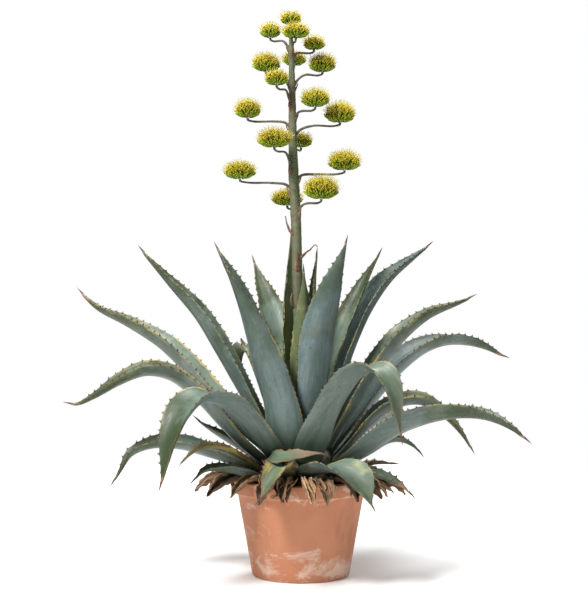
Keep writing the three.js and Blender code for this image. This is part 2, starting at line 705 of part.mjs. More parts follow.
// An umbel: a bowl below and a dome above, with a small core whose every face is drawn out to
// the tip of a floret.
function umbel({ width, height }, random) {
  const points = [];
  const keep = (point) => points.push(point) - 1;
  const middleHeight = height * HEAD_MIDDLE;
  const rise = (above) => (above ? height - middleHeight : middleHeight);
  const spherical = (elevation, turn, scale) =>
    new THREE.Vector3(
      (width / 2) * scale * Math.cos(elevation) * Math.cos(turn),
      (width / 2) * scale * Math.cos(elevation) * Math.sin(turn),
      middleHeight + rise(elevation > 0) * scale * Math.sin(elevation),
    );
  const ring = (row, pointAt) =>
    Array.from({ length: HEAD_SIDES }, (_, k) =>
      keep(pointAt((2 * Math.PI * (k + row / 2)) / HEAD_SIDES)),
    );
  const seat = ring(0, (turn) =>
    new THREE.Vector3(Math.cos(turn), Math.sin(turn), 0).multiplyScalar(HEAD_SEAT_RADIUS),
  );
  const rows = [
    seat,
    ...HEAD_RINGS.map((degrees, i) =>
      ring(i + 1, (turn) => spherical(radians(degrees), turn, HEAD_CORE)),
    ),
  ];
  const crown = keep(spherical(Math.PI / 2, 0, HEAD_CORE));
  const triangles = [];
  const floret = (corners) => {
    const middle = new THREE.Vector3();
    for (const corner of corners) middle.addScaledVector(points[corner], 1 / corners.length);
    const turn = Math.atan2(middle.y, middle.x);
    const upward = middle.z - middleHeight;
    const spread = Math.hypot(middle.x, middle.y) / (width / 2);
    const elevation = Math.atan2(upward / rise(upward > 0), spread);
    const reach = SHORTEST_FLORET + (1 - SHORTEST_FLORET) * random();
    const tip = keep(spherical(elevation, turn, reach));
    corners.forEach((corner, i) => {
      triangles.push([corner, corners[(i + 1) % corners.length], tip]);
    });
  };
  for (let row = 0; row + 1 < rows.length; row++) {
    const [below, above] = [rows[row], rows[row + 1]];
    for (let k = 0; k < HEAD_SIDES; k++) {
      const next = (k + 1) % HEAD_SIDES;
      floret([below[k], below[next], above[next], above[k]]);
    }
  }
  const last = rows.at(-1);
  last.forEach((corner, k) => floret([corner, last[(k + 1) % HEAD_SIDES], crown]));
  for (let k = 1; k + 1 < HEAD_SIDES; k++) triangles.push([seat[0], seat[k + 1], seat[k]]);
  return meshOf(points, triangles);
}

function flowerHeads() {
  const random = randomStream(7);
  return HEADS.map((head, i) => {
    const name = "flower_head_" + String(i + 1).padStart(2, "0");
    const mesh = pieceOf(name, umbel(head, random), "flower");
    mesh.position.copy(headSeat(head)).add(new THREE.Vector3(0, 0, GAP));
    return mesh;
  });
}

// A side branch leaves the stalk upwards, levels out and ends upright under its head.
function branch(head) {
  const turn = radians(head.azimuth);
  const root = head.seat - head.drop;
  const at = (out, height) =>
    stalkCentre(root).add(
      new THREE.Vector3(out * Math.cos(turn), out * Math.sin(turn), height - root),
    );
  const seat = headSeat(head);
  const slip = stalkCentre(head.seat).x - stalkCentre(root).x;
  const end = (height) => new THREE.Vector3(seat.x, seat.y, height);
  const route = new THREE.CatmullRomCurve3([
    at(0, root - 14),
    at(readLine(STALK, root, 2) + 9, root + head.drop * 0.42),
    at(head.reach * 0.42, root + Math.min(head.drop * 0.8, head.drop - 2 * BRANCH_SOCKET)),
    at(head.reach * 0.86 + slip, head.seat - 2 * BRANCH_SOCKET),
    end(head.seat - BRANCH_SOCKET),
  ]);
  const points = [...route.getPoints(BRANCH_STEPS), end(head.seat)];
  const radii = points.map((_, i) =>
    THREE.MathUtils.lerp(BRANCH_RADIUS, BRANCH_TIP_RADIUS, i / (points.length - 1)),
  );
  return rod(points, radii, BRANCH_SIDES);
}

// Dry bracts on the stalk: azimuth, root height, then knots as [reach, height, drift].
const BRACTS = [
  { azimuth: 195, width: 26, knots: [[8, 1105], [24, 1128], [34, 1152], [38, 1178]] },
  { azimuth: -18, width: 18, knots: [[8, 1030], [26, 1052], [46, 1068], [62, 1084], [70, 1076]] },
  { azimuth: -95, width: 16, knots: [[8, 985], [21, 1005], [23, 1035], [20, 1060]] },
  { azimuth: 200, width: 20, knots: [[8, 868], [24, 886], [27, 905], [22, 925]] },
  { azimuth: 70, width: 20, knots: [[8, 935], [25, 955], [33, 980], [32, 1005]] },
];
const BRACT_OUTLINE = [[0, 1], [0.35, 1], [0.7, 0.6], [1, 0.08]];
const BRACT_STATIONS = [0, 0.35, 0.7];
const BRACT_THINNEST = 2.4;
const BRACT_CURL = 0.7;

function bract(spec) {
  const shift = stalkCentre(spec.knots[0][1]).x;
  const blade = leafGeometry({
    ...spec,
    curl: BRACT_CURL,
    teeth: false,
    spine: false,
    seated: false,
    thinnest: BRACT_THINNEST,
    outline: BRACT_OUTLINE,
    stations: BRACT_STATIONS,
  });
  return blade.translate(shift, 0, 0);
}

const SCALE_RADIUS = 7;
const SCALE_HEIGHT = 30;
const SCALE_LEAN = 14;
const SCALE_DROP = 6;

// A small pointed scale under the root of a branch.
function branchScale(head) {
  const turn = radians(head.azimuth);
  const root = head.seat - head.drop;
  const radius = readLine(STALK, root, 2);
  const scale = new THREE.ConeGeometry(SCALE_RADIUS, SCALE_HEIGHT, 4, 1);
  scale.scale(1, 1, 0.5);
  scale.rotateX(Math.PI / 2);
  scale.rotateY(radians(SCALE_LEAN));
  scale.translate(radius - 1, 0, root - SCALE_DROP);
  scale.rotateZ(turn);
  return scale.translate(stalkCentre(root).x, 0, 0);
}

function stem() {
  const profile = [
    new THREE.Vector2(0, CAUDEX[0][0]),
    ...CAUDEX.map(([height, radius]) => new THREE.Vector2(radius, height)),
    new THREE.Vector2(0, CAUDEX.at(-1)[0]),
  ];
  const caudex = new THREE.LatheGeometry(profile, CAUDEX_SIDES).rotateX(Math.PI / 2);
  const stalk = rod(
    STALK.map(([height]) => stalkCentre(height)),
    STALK.map(([, , radius]) => radius),
    STALK_SIDES,
  );
  const sideHeads = HEADS.filter(({ reach }) => reach > 0);
  const whole = fuse([
    caudex,
    stalk,
    ...sideHeads.map(branch),
    ...sideHeads.map(branchScale),
    ...BRACTS.map(bract),
  ]);
  return pieceOf("stem", geometryOf(whole), "stem");
}

// The pot and its soil
function turned(corners, sides) {
  const profile = corners.map(([radius, height]) => new THREE.Vector2(radius, height));
  return new THREE.LatheGeometry(profile, sides).rotateX(Math.PI / 2);
}

function innerRadius(height) {
  return readLine([[0, POT_FOOT_RADIUS], [POT_HEIGHT, POT_NECK_RADIUS + 4]], height) - POT_WALL;
}

function pot() {
  const rimBottom = POT_HEIGHT - RIM_DEPTH;
  const shell = turned(
    [
      [0, 0],
      [POT_FOOT_RADIUS - 3, 0],
      [POT_FOOT_RADIUS, 3],
      [POT_NECK_RADIUS, rimBottom],
      [RIM_RADIUS - 3, rimBottom + 2],
      [RIM_RADIUS, rimBottom + 7],
      [RIM_RADIUS, POT_HEIGHT - RIM_ROUNDING],
      [RIM_RADIUS - RIM_ROUNDING, POT_HEIGHT],
      [innerRadius(POT_HEIGHT) + 3, POT_HEIGHT],
      [innerRadius(POT_HEIGHT), POT_HEIGHT - 4],
      [innerRadius(POT_WALL), POT_WALL],
      [0, POT_WALL],
    ],
    POT_SIDES,
  );
  let body = solidOf(shell);
  for (let i = 0; i < DRAIN_COUNT; i++) {
    const turn = (2 * Math.PI * i) / DRAIN_COUNT;
    const hole = new THREE.CylinderGeometry(DRAIN_RADIUS, DRAIN_RADIUS, 3 * POT_WALL, 12);
    hole.rotateX(Math.PI / 2);
    hole.translate(DRAIN_CIRCLE * Math.cos(turn), DRAIN_CIRCLE * Math.sin(turn), 0);
    body = body.subtract(solidOf(hole));
  }
  return pieceOf("pot", geometryOf(body), "pot");
}

function soil() {
  const facetGap = 1.2;
  const socket = GAP + 0.2;
  const top = SOIL_TOP;
  const geometry = turned(
    [
      [0, top - ROOT_DEPTH - GAP],
      [readLine(CAUDEX, top - ROOT_DEPTH) + socket, top - ROOT_DEPTH - GAP],
      [readLine(CAUDEX, top) + socket, top],
      [128, top],
      [158, top],
      [184, top],
      [innerRadius(top) - facetGap, top],
      [innerRadius(POT_WALL) - facetGap, POT_WALL + GAP],
      [0, POT_WALL + GAP],
    ],
    POT_SIDES,
  );
  const place = geometry.attributes.position;
  for (let i = 0; i < place.count; i++) {
    const [x, y, z] = [place.getX(i), place.getY(i), place.getZ(i)];
    const radius = Math.hypot(x, y);
    if (z > top - 1 && radius > 120 && radius < 190) {
      const wave = Math.sin(x / 31 + 1) * Math.cos(y / 27) + Math.sin((x + y) / 19);
      place.setZ(i, top + (SOIL_UNEVENNESS / 2) * wave);
    }
  }
  return pieceOf("soil", geometryOf(solidOf(geometry)), "soil");
}

const plant = new THREE.Group();
plant.add(pot(), soil(), stem(), ...livingLeaves(), ...flowerHeads(), ...dryLeaves());

export default plant;
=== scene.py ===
import math

import bpy
import numpy as np
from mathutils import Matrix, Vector


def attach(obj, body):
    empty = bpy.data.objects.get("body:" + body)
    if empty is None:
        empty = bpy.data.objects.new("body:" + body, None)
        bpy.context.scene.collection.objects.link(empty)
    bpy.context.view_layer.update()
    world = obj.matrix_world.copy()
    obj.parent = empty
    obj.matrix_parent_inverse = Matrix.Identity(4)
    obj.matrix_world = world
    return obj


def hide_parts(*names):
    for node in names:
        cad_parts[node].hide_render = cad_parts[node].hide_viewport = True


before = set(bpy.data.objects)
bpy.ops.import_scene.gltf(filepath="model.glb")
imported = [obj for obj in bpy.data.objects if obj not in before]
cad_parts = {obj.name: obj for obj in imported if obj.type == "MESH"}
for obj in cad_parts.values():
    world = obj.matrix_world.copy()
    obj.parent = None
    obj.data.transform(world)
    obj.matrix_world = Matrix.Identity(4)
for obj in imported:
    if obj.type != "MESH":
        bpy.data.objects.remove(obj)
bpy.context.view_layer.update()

MM = 0.001

# Camera and light

CAMERA_DISTANCE = 5.0
CAMERA_X = -0.0224
CAMERA_Z = 1.0336
HALF_VIEW = 0.197
PITCH = math.radians(-1.5)
FLOOR_RADIUS = 2.8
SKY_LIGHT = 0.21
SKY_SEEN = 1.0
SENSOR = 36.0
CLIP_END = 60
FLOOR_SIDES = 96
FLOOR_DROP = 0.0004

# The plant's fixed sizes, in millimetres

SOIL_TOP = 296
POT_HEIGHT = 320
POT_FOOT_RADIUS = 160
POT_NECK_RADIUS = 209
RIM_RADIUS = 230
RIM_DEPTH = 46
RIM_ROUNDING = 5
POT_WALL = 15
DRAIN_RADIUS = 8
DRAIN_CIRCLE = 70
DRAIN_COUNT = 3
ROOT_DEPTH = 60
CAUDEX = [
    (236, 86), (300, 98), (330, 104), (388, 104), (404, 98), (424, 83), (446, 60), (466, 36),
    (482, 17),
]
STALK = [
    (440, 0, 18), (620, -3, 17.5), (860, -8, 17), (1100, -14, 16.8), (1200, -17, 16.6),
    (1313, -24, 16.4), (1437, -27, 13.4), (1568, -28, 11.2), (1706, -31, 8.4), (1804, -33, 5.5),
]


# Numbers and curves


def mix(a, b, share):
    return a + (b - a) * share


def smooth(value, low, high):
    share = np.clip((value - low) / (high - low), 0, 1)
    return share * share * (3 - 2 * share)


def unit(vectors):
    return vectors / np.maximum(np.linalg.norm(vectors, axis=-1, keepdims=True), 1e-12)


def read_line(rows, place, column=1):
    return np.interp(place, [row[0] for row in rows], [row[column] for row in rows])


def read_curve(rows, place):
    """Smooth reading of (place, value) rows, with slopes taken from the neighbours."""
    xs = np.array([row[0] for row in rows], float)
    ys = np.array([row[1] for row in rows], float)
    before = np.r_[0, 0 : len(xs) - 1]
    after = np.r_[1 : len(xs), len(xs) - 1]
    slopes = (ys[after] - ys[before]) / (xs[after] - xs[before])
    at = np.clip(place, xs[0], xs[-1])
    i = np.clip(np.searchsorted(xs, at), 1, len(xs) - 1)
    span = xs[i] - xs[i - 1]
    s = (at - xs[i - 1]) / span
    return (
        ys[i - 1] * (2 * s**3 - 3 * s**2 + 1)
        + slopes[i - 1] * span * (s**3 - 2 * s**2 + s)
        + ys[i] * (3 * s**2 - 2 * s**3)
        + slopes[i] * span * (s**3 - s**2)
    )


class Line:
    """A smooth curve through knots, read by the share of its length."""

    def __init__(self, knots):
        knots = np.array(knots, float)
        self.count = len(knots) - 1
        first = 2 * knots[0] - knots[1]
        last = 2 * knots[-1] - knots[-2]
        self.knots = np.vstack([first, knots, last])
        self.steps = np.linspace(0, 1, 201)
        spots = self.spot(self.steps)
        run = np.linalg.norm(np.diff(spots, axis=0), axis=1)
        self.runs = np.r_[0, np.cumsum(run)]
        self.length = self.runs[-1]

    def spot(self, step):
        place = np.atleast_1d(step) * self.count
        k = np.minimum(place.astype(int), self.count - 1)
        w = (place - k)[:, None]
        p0, p1, p2, p3 = (self.knots[k + i] for i in range(4))

        def gap(a, b):
            return np.sqrt(np.linalg.norm(b - a, axis=1))[:, None]

        d0, d1, d2 = gap(p0, p1), gap(p1, p2), gap(p2, p3)
        m1 = ((p1 - p0) / d0 - (p2 - p0) / (d0 + d1) + (p2 - p1) / d1) * d1
        m2 = ((p2 - p1) / d1 - (p3 - p1) / (d1 + d2) + (p3 - p2) / d2) * d1
        c2 = 3 * (p2 - p1) - 2 * m1 - m2
        c3 = 2 * (p1 - p2) + m1 + m2
        return p1 + m1 * w + c2 * w**2 + c3 * w**3

    def step_at(self, share):
        return np.interp(np.asarray(share) * self.length, self.runs, self.steps)

    def at(self, share):
        return self.spot(self.step_at(share))

    def along(self, share):
        step = np.atleast_1d(self.step_at(share))
        ahead = self.spot(np.minimum(step + 1e-4, 1))
        behind = self.spot(np.maximum(step - 1e-4, 0))
        return unit(ahead - behind)


def wobble(places, size, seed):
    """Soft unevenness between about -1 and 1 over places, with lumps of about that size."""
    stream = np.random.default_rng(seed)
    places = np.atleast_2d(places)
    total = np.zeros(len(places))
    for _ in range(7):
        direction = unit(stream.normal(size=places.shape[1]))
        pace = 2 * math.pi / (size * stream.uniform(0.7, 1.6))
        total += np.sin(places @ direction * pace + stream.uniform(0, 2 * math.pi))
    return total / 3.2


def on_circle(radius, turn, height=0.0):
    return np.array([radius * math.cos(turn), radius * math.sin(turn), height])


def turn_about(vectors, axes, angle):
    """Vectors at right angles to their axes, turned about them."""
    return vectors * np.cos(angle)[:, None] + np.cross(axes, vectors) * np.sin(angle)[:, None]


# Meshes


class Shape:
    """Collects points and faces of one piece, with a material's number for each face and two
    vectors for each point that the materials read: its place in the grain, and its marks."""

    def __init__(self):
        self.points = []
        self.faces = []
        self.kinds = []
        self.grain = []
        self.marks = []
        self.total = 0

    def add(self, points, faces, kind=0, grain=None, marks=None):
        points = np.asarray(points, float)
        count = len(points)
        self.points.append(points)
        self.grain.append(points * MM if grain is None else grain)
        self.marks.append(np.zeros((count, 3)) if marks is None else marks)
        for group in faces if isinstance(faces, list) else [faces]:
            group = np.asarray(group, int)
            self.faces.append(group + self.total)
            self.kinds.append(np.full(len(group), kind))
        self.total += count

    def piece(self, name, looks, node):
        faces = [row for group in self.faces for row in group.tolist()]
        mesh = bpy.data.meshes.new(name)
        mesh.from_pydata((np.vstack(self.points) * MM).tolist(), [], faces)
        for look in looks:
            mesh.materials.append(look)
        mesh.polygons.foreach_set("material_index", np.concatenate(self.kinds).astype(np.int32))
        for title, rows in (("grain", self.grain), ("marks", self.marks)):
            attribute = mesh.attributes.new(title, "FLOAT_VECTOR", "POINT")
            attribute.data.foreach_set("vector", np.vstack(rows).astype(np.float32).ravel())
        mesh.shade_smooth()
        mesh.update()
        made = bpy.data.objects.new(name, mesh)
        bpy.context.scene.collection.objects.link(made)
        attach(made, "root")
        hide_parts(node)
        return made


def facing_out(points, faces):
    """The same quads, turned over if they enclose their points inside out."""
    centre = points.mean(0)
    a, b, c, d = (points[faces[:, k]] - centre for k in range(4))
    volume = np.einsum("ij,ij->i", a, np.cross(b, c) + np.cross(c, d)).sum()
    return faces if volume > 0 else faces[:, ::-1]


def skin(rings):
    """Quads between rings of points: rings is (number of rings, points in a ring, 3)."""
    count, around = rings.shape[:2]
    i, k = np.meshgrid(np.arange(count - 1), np.arange(around), indexing="ij")
    a = (i * around + k).ravel()
    b = (i * around + (k + 1) % around).ravel()
    return np.stack([a, b, b + around, a + around], axis=1)


def ends(rings):
    """The two many-sided faces that close a skin, facing away from each other."""
    count, around = rings.shape[:2]
    first = np.arange(around)[::-1]
    return [first[None], (first[::-1] + (count - 1) * around)[None]]


def closed_skin(rings):
    points = rings.reshape(-1, 3)
    faces = skin(rings)
    wall = facing_out(points, faces)
    caps = ends(rings)
    if wall is not faces:
        caps = [cap[:, ::-1] for cap in caps]
    return points, [wall, *caps]


def rod(spots, radii, sides, seed=0, uneven=0.0):
    """Rings of a round rod along spots."""
    spots = np.asarray(spots, float)
    along = unit(np.gradient(spots, axis=0))
    side = np.cross([0.0, 1.0, 0.0], along[0])
    if np.linalg.norm(side) < 0.2:
        side = np.cross([1.0, 0.0, 0.0], along[0])
    sides_at = []
    for direction in along:
        side = side - direction * (side @ direction)
        side = side / np.linalg.norm(side)
        sides_at.append(side)
    across = np.array(sides_at)
    up = np.cross(along, across)
    turns = np.arange(sides) * 2 * math.pi / sides
    wide = np.asarray(radii, float)[:, None, None] * np.ones((1, sides, 1))
    round_about = across[:, None] * np.cos(turns)[None, :, None]
    round_about = round_about + up[:, None] * np.sin(turns)[None, :, None]
    rings = spots[:, None] + round_about * wide
    if uneven:
        lumps = wobble(rings.reshape(-1, 3), 26, seed).reshape(len(spots), sides, 1)
        rings = rings + round_about * lumps * uneven
    return rings


def turned(profile, sides):
    """Rings of a turned body from a (radius, height) profile."""
    turns = np.arange(sides) * 2 * math.pi / sides
    profile = np.asarray(profile, float)
    rings = np.zeros((len(profile), sides, 3))
    rings[:, :, 0] = profile[:, 0, None] * np.cos(turns)
    rings[:, :, 1] = profile[:, 0, None] * np.sin(turns)
    rings[:, :, 2] = profile[:, 1, None]
    return rings


# Materials


class Look:
    """A material under construction. Most methods add one node and return its output; lay and
    cover paint over the colour so far."""

    def __init__(self, name):
        self.material = bpy.data.materials.new(name)
        self.material.use_nodes = True
        self.tree = self.material.node_tree
        self.shader = self.tree.nodes["Principled BSDF"]
        self.colour = None

    def put(self, socket, value):
        if isinstance(value, bpy.types.NodeSocket):
            self.tree.links.new(value, socket)
        elif isinstance(value, (tuple, list)) and len(value) == 3 and socket.type == "RGBA":
            socket.default_value = (*value, 1)
        else:
            socket.default_value = value

    def node(self, kind, output=0, options=None, **values):
        made = self.tree.nodes.new(kind)
        for name, value in (options or {}).items():
            setattr(made, name, value)
        for name, value in values.items():
            key = int(name[1:]) if name[1:].isdigit() else name.replace("_", " ").title()
            self.put(made.inputs[key], value)
        return made.outputs[output]

    def mark(self, name):
        return self.node("ShaderNodeAttribute", "Vector", {"attribute_name": name})

    def place(self):
        return self.node("ShaderNodeTexCoord", "Object")

    def parts(self, vector):
        made = self.tree.nodes.new("ShaderNodeSeparateXYZ")
        self.put(made.inputs[0], vector)
        return made.outputs

    def stretch(self, vector, scale):
        return self.node("ShaderNodeMapping", vector=vector, scale=scale)

    def noise(self, vector, scale, detail=4.0, roughness=0.55, distortion=0.0):
        return self.node("ShaderNodeTexNoise", "Fac", vector=vector, scale=scale, detail=detail,
                         roughness=roughness, distortion=distortion)

    def grained(self, vector, scale, detail, roughness):
        """Noise that is stretched by its own scale along each direction."""
        return self.noise(self.stretch(vector, scale), 1, detail, roughness)

    def cells(self, vector, scale):
        return self.node("ShaderNodeTexVoronoi", "Distance", vector=vector, scale=scale)

    def sum(self, kind, a, b):
        return self.node("ShaderNodeMath", 0, {"operation": kind}, _0=a, _1=b)

    def between(self, value, low, high, start=0.0, end=1.0):
        return self.node("ShaderNodeMapRange", 0, {"interpolation_type": "SMOOTHSTEP"},
                         value=value, _1=low, _2=high, _3=start, _4=end)

    def blend(self, share, a, b, kind="MIX"):
        made = self.tree.nodes.new("ShaderNodeMix")
        made.data_type = "RGBA"
        made.blend_type = kind
        self.put(made.inputs[0], share)
        self.put(made.inputs[6], a)
        self.put(made.inputs[7], b)
        return made.outputs[2]

    def lay(self, share, paint, kind="MIX"):
        self.colour = self.blend(share, self.colour, paint, kind)

    def cover(self, value, low, high, start, end, paint):
        """Paint whose share runs from start where the value is low to end where it is high."""
        self.lay(self.between(value, low, high, start, end), paint)

    def bump(self, height, strength, distance, under=None):
        made = self.tree.nodes.new("ShaderNodeBump")
        made.inputs["Strength"].default_value = strength
        made.inputs["Distance"].default_value = distance
        self.put(made.inputs["Height"], height)
        if under is not None:
            self.put(made.inputs["Normal"], under)
        return made.outputs[0]

    def finish(self, roughness, normal=None, specular=0.5):
        self.put(self.shader.inputs["Base Color"], self.colour)
        self.put(self.shader.inputs["Roughness"], roughness)
        self.shader.inputs["Specular IOR Level"].default_value = specular
        if normal is not None:
            self.put(self.shader.inputs["Normal"], normal)
        return self.material


INNER_TINT = np.array([1.0, 1.08, 0.9])
# Inner side of blue leaves: paler like every inner side, and brighter and bluer still as a painted
# sky highlight
INNER_BLUE_AND_SKY_HIGHLIGHT = np.array([1.25, 1.25, 1.3])
GREY_LEAF = np.array([(0.062, 0.09, 0.075), (0.2, 0.25, 0.215)])
BLUE_LEAF = np.array([(0.066, 0.108, 0.116), (0.225, 0.315, 0.335)])
GREEN_LEAF = np.array([(0.07, 0.11, 0.03), (0.3, 0.36, 0.12)])


def leaf_look(name, band, gold, dry=0.0, pale=0.4, end=0.95, blotch=0.1, blue=0.35, green=0.0,
              gold_from=-1.0, rust=0.0, tip_darkness=0.94):
    """Waxy leaf skin: band is the width of its yellow margins in metres, gold how yellow they are
    and gold_from the share of the length where they start, dry is how much of it has browned,
    pale how much bloom it carries, end the share of its length where its tip dies off, blotch
    how far it has yellowed in patches, blue and green its tint, blue also how strong the painted
    sky highlight on the paler inner side, rust how brown its margins are, tip_darkness how dark
    it grows towards its tip."""
    look = Look(name)
    grain = look.mark("grain")
    edge, share, inner = look.parts(look.mark("marks"))
    streaks = look.grained(grain, (230, 7, 1), 5, 0.6)
    broad = look.grained(grain, (60, 3, 1), 4, 0.6)
    mottle = look.grained(grain, (75, 26, 1), 6, 0.66)
    clouds = look.noise(look.place(), 7, 5, 0.6)

    # The two sides of the leaf, in clouds of its own tint; the inner side is paler, and on blue
    # leaves it carries a painted sky highlight
    dark, light = mix(mix(GREY_LEAF, BLUE_LEAF, blue), GREEN_LEAF, green)
    tint = mix(INNER_TINT, INNER_BLUE_AND_SKY_HIGHLIGHT, blue)
    outer_side = look.blend(clouds, tuple(dark), tuple(light))
    inner_side_and_sky_highlight = look.blend(clouds, tuple(dark * tint), tuple(light * tint))
    look.colour = look.blend(inner, outer_side, inner_side_and_sky_highlight)

    # Dark stripes, pale bloom, dark specks, fine streaks and worn places
    look.cover(broad, 0.45, 0.7, 0, 0.45, (0.05, 0.075, 0.055))
    look.cover(mottle, 0.48, 0.72, 0, pale, (0.27, 0.33, 0.32))
    look.cover(mottle, 0.28, 0.42, 0.65, 0, (0.04, 0.055, 0.035))
    look.cover(streaks, 0.52, 0.74, 0, 0.45, (0.06, 0.085, 0.055))
    look.cover(look.noise(look.place(), 34, 6, 0.7), 0.56, 0.72, 0, 0.4, (0.09, 0.11, 0.07))

    # Darker olive towards the tip, and patches have yellowed
    olive = look.blend(broad, (0.01, 0.024, 0.006), (0.044, 0.066, 0.017))
    toward_tip = look.sum("ADD", share, look.between(clouds, 0.35, 0.65, -0.16, 0.16))
    look.cover(toward_tip, 0.36, 0.84, 0, tip_darkness, olive)
    straw = look.blend(mottle, (0.2, 0.2, 0.07), (0.55, 0.52, 0.24))
    look.cover(look.noise(look.place(), 12, 5, 0.65), 0.53, 0.7, 0, blotch, straw)

    # The yellow margin: ragged, broken here and there, and fainter towards the tip
    blur = look.between(mottle, 0.25, 0.75, -0.6 * band, 0.6 * band)
    sway = look.between(broad, 0.3, 0.7, -0.35 * band, 0.35 * band)
    ragged = look.sum("ADD", look.sum("ADD", edge, blur), sway)
    rim = look.between(ragged, 0.3 * band, 1.1 * band, gold, 0)
    for part in (
        look.between(look.grained(grain, (9, 8, 1), 4, 0.6), 0.4, 0.56, 0.12, 1),
        look.between(share, 0.45, 0.8, 1, 0.22),
        look.between(share, gold_from, gold_from + 0.2),
    ):
        rim = look.sum("MULTIPLY", rim, part)
    look.lay(rim, look.blend(mottle, (0.3, 0.23, 0.06), (0.64, 0.5, 0.17)))

    # The horny brown lip, rusty margins, and painted shade that darkens the foot deep in the
    # rosette
    lip = look.sum("ADD", edge, look.between(broad, 0.35, 0.65, -0.0012, 0.0022))
    look.cover(lip, 0.0, 0.0013, 0.5, 0, (0.13, 0.09, 0.04))
    rusted = look.sum("ADD", edge, look.between(mottle, 0.3, 0.7, -0.008, 0.012))
    look.cover(rusted, 0.002, 0.011, rust, 0, (0.2, 0.085, 0.03))
    # Painted shade: the foot of each leaf darkened where it sits in the shadow of the rosette
    look.cover(share, 0.03, 0.26, 0.8, 0, (0.035, 0.06, 0.035))

    # Dead matter: the scorched end, withered parts and brown spots
    dead = look.blend(streaks, (0.12, 0.055, 0.03), (0.42, 0.27, 0.18))
    scorched = look.sum("ADD", share, look.between(mottle, 0.2, 0.8, -0.05, 0.05))
    look.cover(scorched, end - 0.03, end + 0.03, 0, 0.9, dead)
    withered = look.sum("ADD", clouds, look.between(share, 0.2, 1, -0.1, 0.12))
    look.cover(withered, 0.66 - 0.4 * dry, 0.76 - 0.32 * dry, 0, min(1, 0.1 + dry), dead)
    spots = look.between(look.cells(look.place(), 80), 0.03, 0.14, 0.6, 0)
    spots = look.sum("MULTIPLY", spots, look.between(clouds, 0.52, 0.68))
    look.lay(spots, (0.07, 0.055, 0.03))

    normal = look.bump(mottle, 0.22, 0.0014, look.bump(streaks, 0.35, 0.0014))
    return look.finish(look.between(mottle, 0.3, 0.75, 0.38, 0.58), normal, specular=0.4)


def thorn_look():
    look = Look("thorn")
    share, _, _ = look.parts(look.mark("marks"))
    mottle = look.noise(look.place(), 160, 4)
    look.colour = look.blend(mottle, (0.06, 0.03, 0.015), (0.13, 0.065, 0.03))
    point = look.blend(mottle, (0.02, 0.013, 0.01), (0.08, 0.055, 0.04))
    look.cover(share, 0.2, 0.8, 0, 1, point)
    return look.finish(0.38, look.bump(mottle, 0.3, 0.0006))


def stalk_look(name, dark, light, brown):
    """Smooth green stalk with brown areas, long fibres, specks and some bloom."""
    look = Look(name)
    place = look.place()
    fibres = look.grained(place, (150, 150, 5), 5, 0.6)
    clouds = look.grained(place, (14, 14, 5), 5, 0.65)
    mottle = look.noise(place, 70, 5, 0.6)
    look.colour = look.blend(clouds, dark, light)
    look.cover(clouds, 0.45, 0.6, 0, 0.8, brown)
    look.cover(fibres, 0.45, 0.7, 0, 0.3, (0.2, 0.22, 0.13))
    look.cover(mottle, 0.34, 0.46, 0.4, 0, (0.045, 0.037, 0.022))
    look.cover(mottle, 0.54, 0.75, 0, 0.25, (0.33, 0.33, 0.27))
    normal = look.bump(mottle, 0.25, 0.001, look.bump(fibres, 0.45, 0.0012))
    return look.finish(look.between(mottle, 0.3, 0.7, 0.5, 0.7), normal)


def fibre_look(name, dark, light, stretch):
    """Dry plant matter: fibres run along the grain. Marks hold how dark the whole strip is and
    how near its pale margin a point lies."""
    look = Look(name)
    fibres = look.noise(look.stretch(look.mark("grain"), stretch), 1, 6, 0.65, 0.3)
    clouds = look.noise(look.place(), 26, 5, 0.6)
    mottle = look.noise(look.place(), 150, 4, 0.6)
    look.colour = look.blend(look.between(fibres, 0.36, 0.64), dark, light)
    look.cover(clouds, 0.45, 0.62, 0, 0.75, (0.07, 0.035, 0.018))
    look.cover(mottle, 0.55, 0.75, 0, 0.28, (0.58, 0.45, 0.3))
    shade, margin, _ = look.parts(look.mark("marks"))
    pale_edge = look.sum("MULTIPLY", margin, look.between(fibres, 0.35, 0.6, 0.1, 0.75))
    look.lay(pale_edge, (0.62, 0.43, 0.23))
    look.lay(1.0, look.between(shade, 0, 1, 1, 0.3), "MULTIPLY")
    normal = look.bump(mottle, 0.3, 0.001, look.bump(fibres, 0.9, 0.003))
    return look.finish(look.between(fibres, 0.3, 0.7, 0.65, 0.9), normal)


def petal_look(name, dark, light, tip):
    """Soft flower matter: marks hold how far along the floret a point lies, and its own tint."""
    look = Look(name)
    share, tint, _ = look.parts(look.mark("marks"))
    mottle = look.noise(look.place(), 420, 3)
    look.colour = look.blend(tint, dark, light)
    look.cover(share, 0.35, 1, 0, 0.8, tip)
    look.cover(mottle, 0.5, 0.8, 0, 0.3, dark)
    normal = look.bump(mottle, 0.2, 0.0006)
    return look.finish(look.between(mottle, 0.3, 0.7, 0.5, 0.7), normal, specular=0.25)


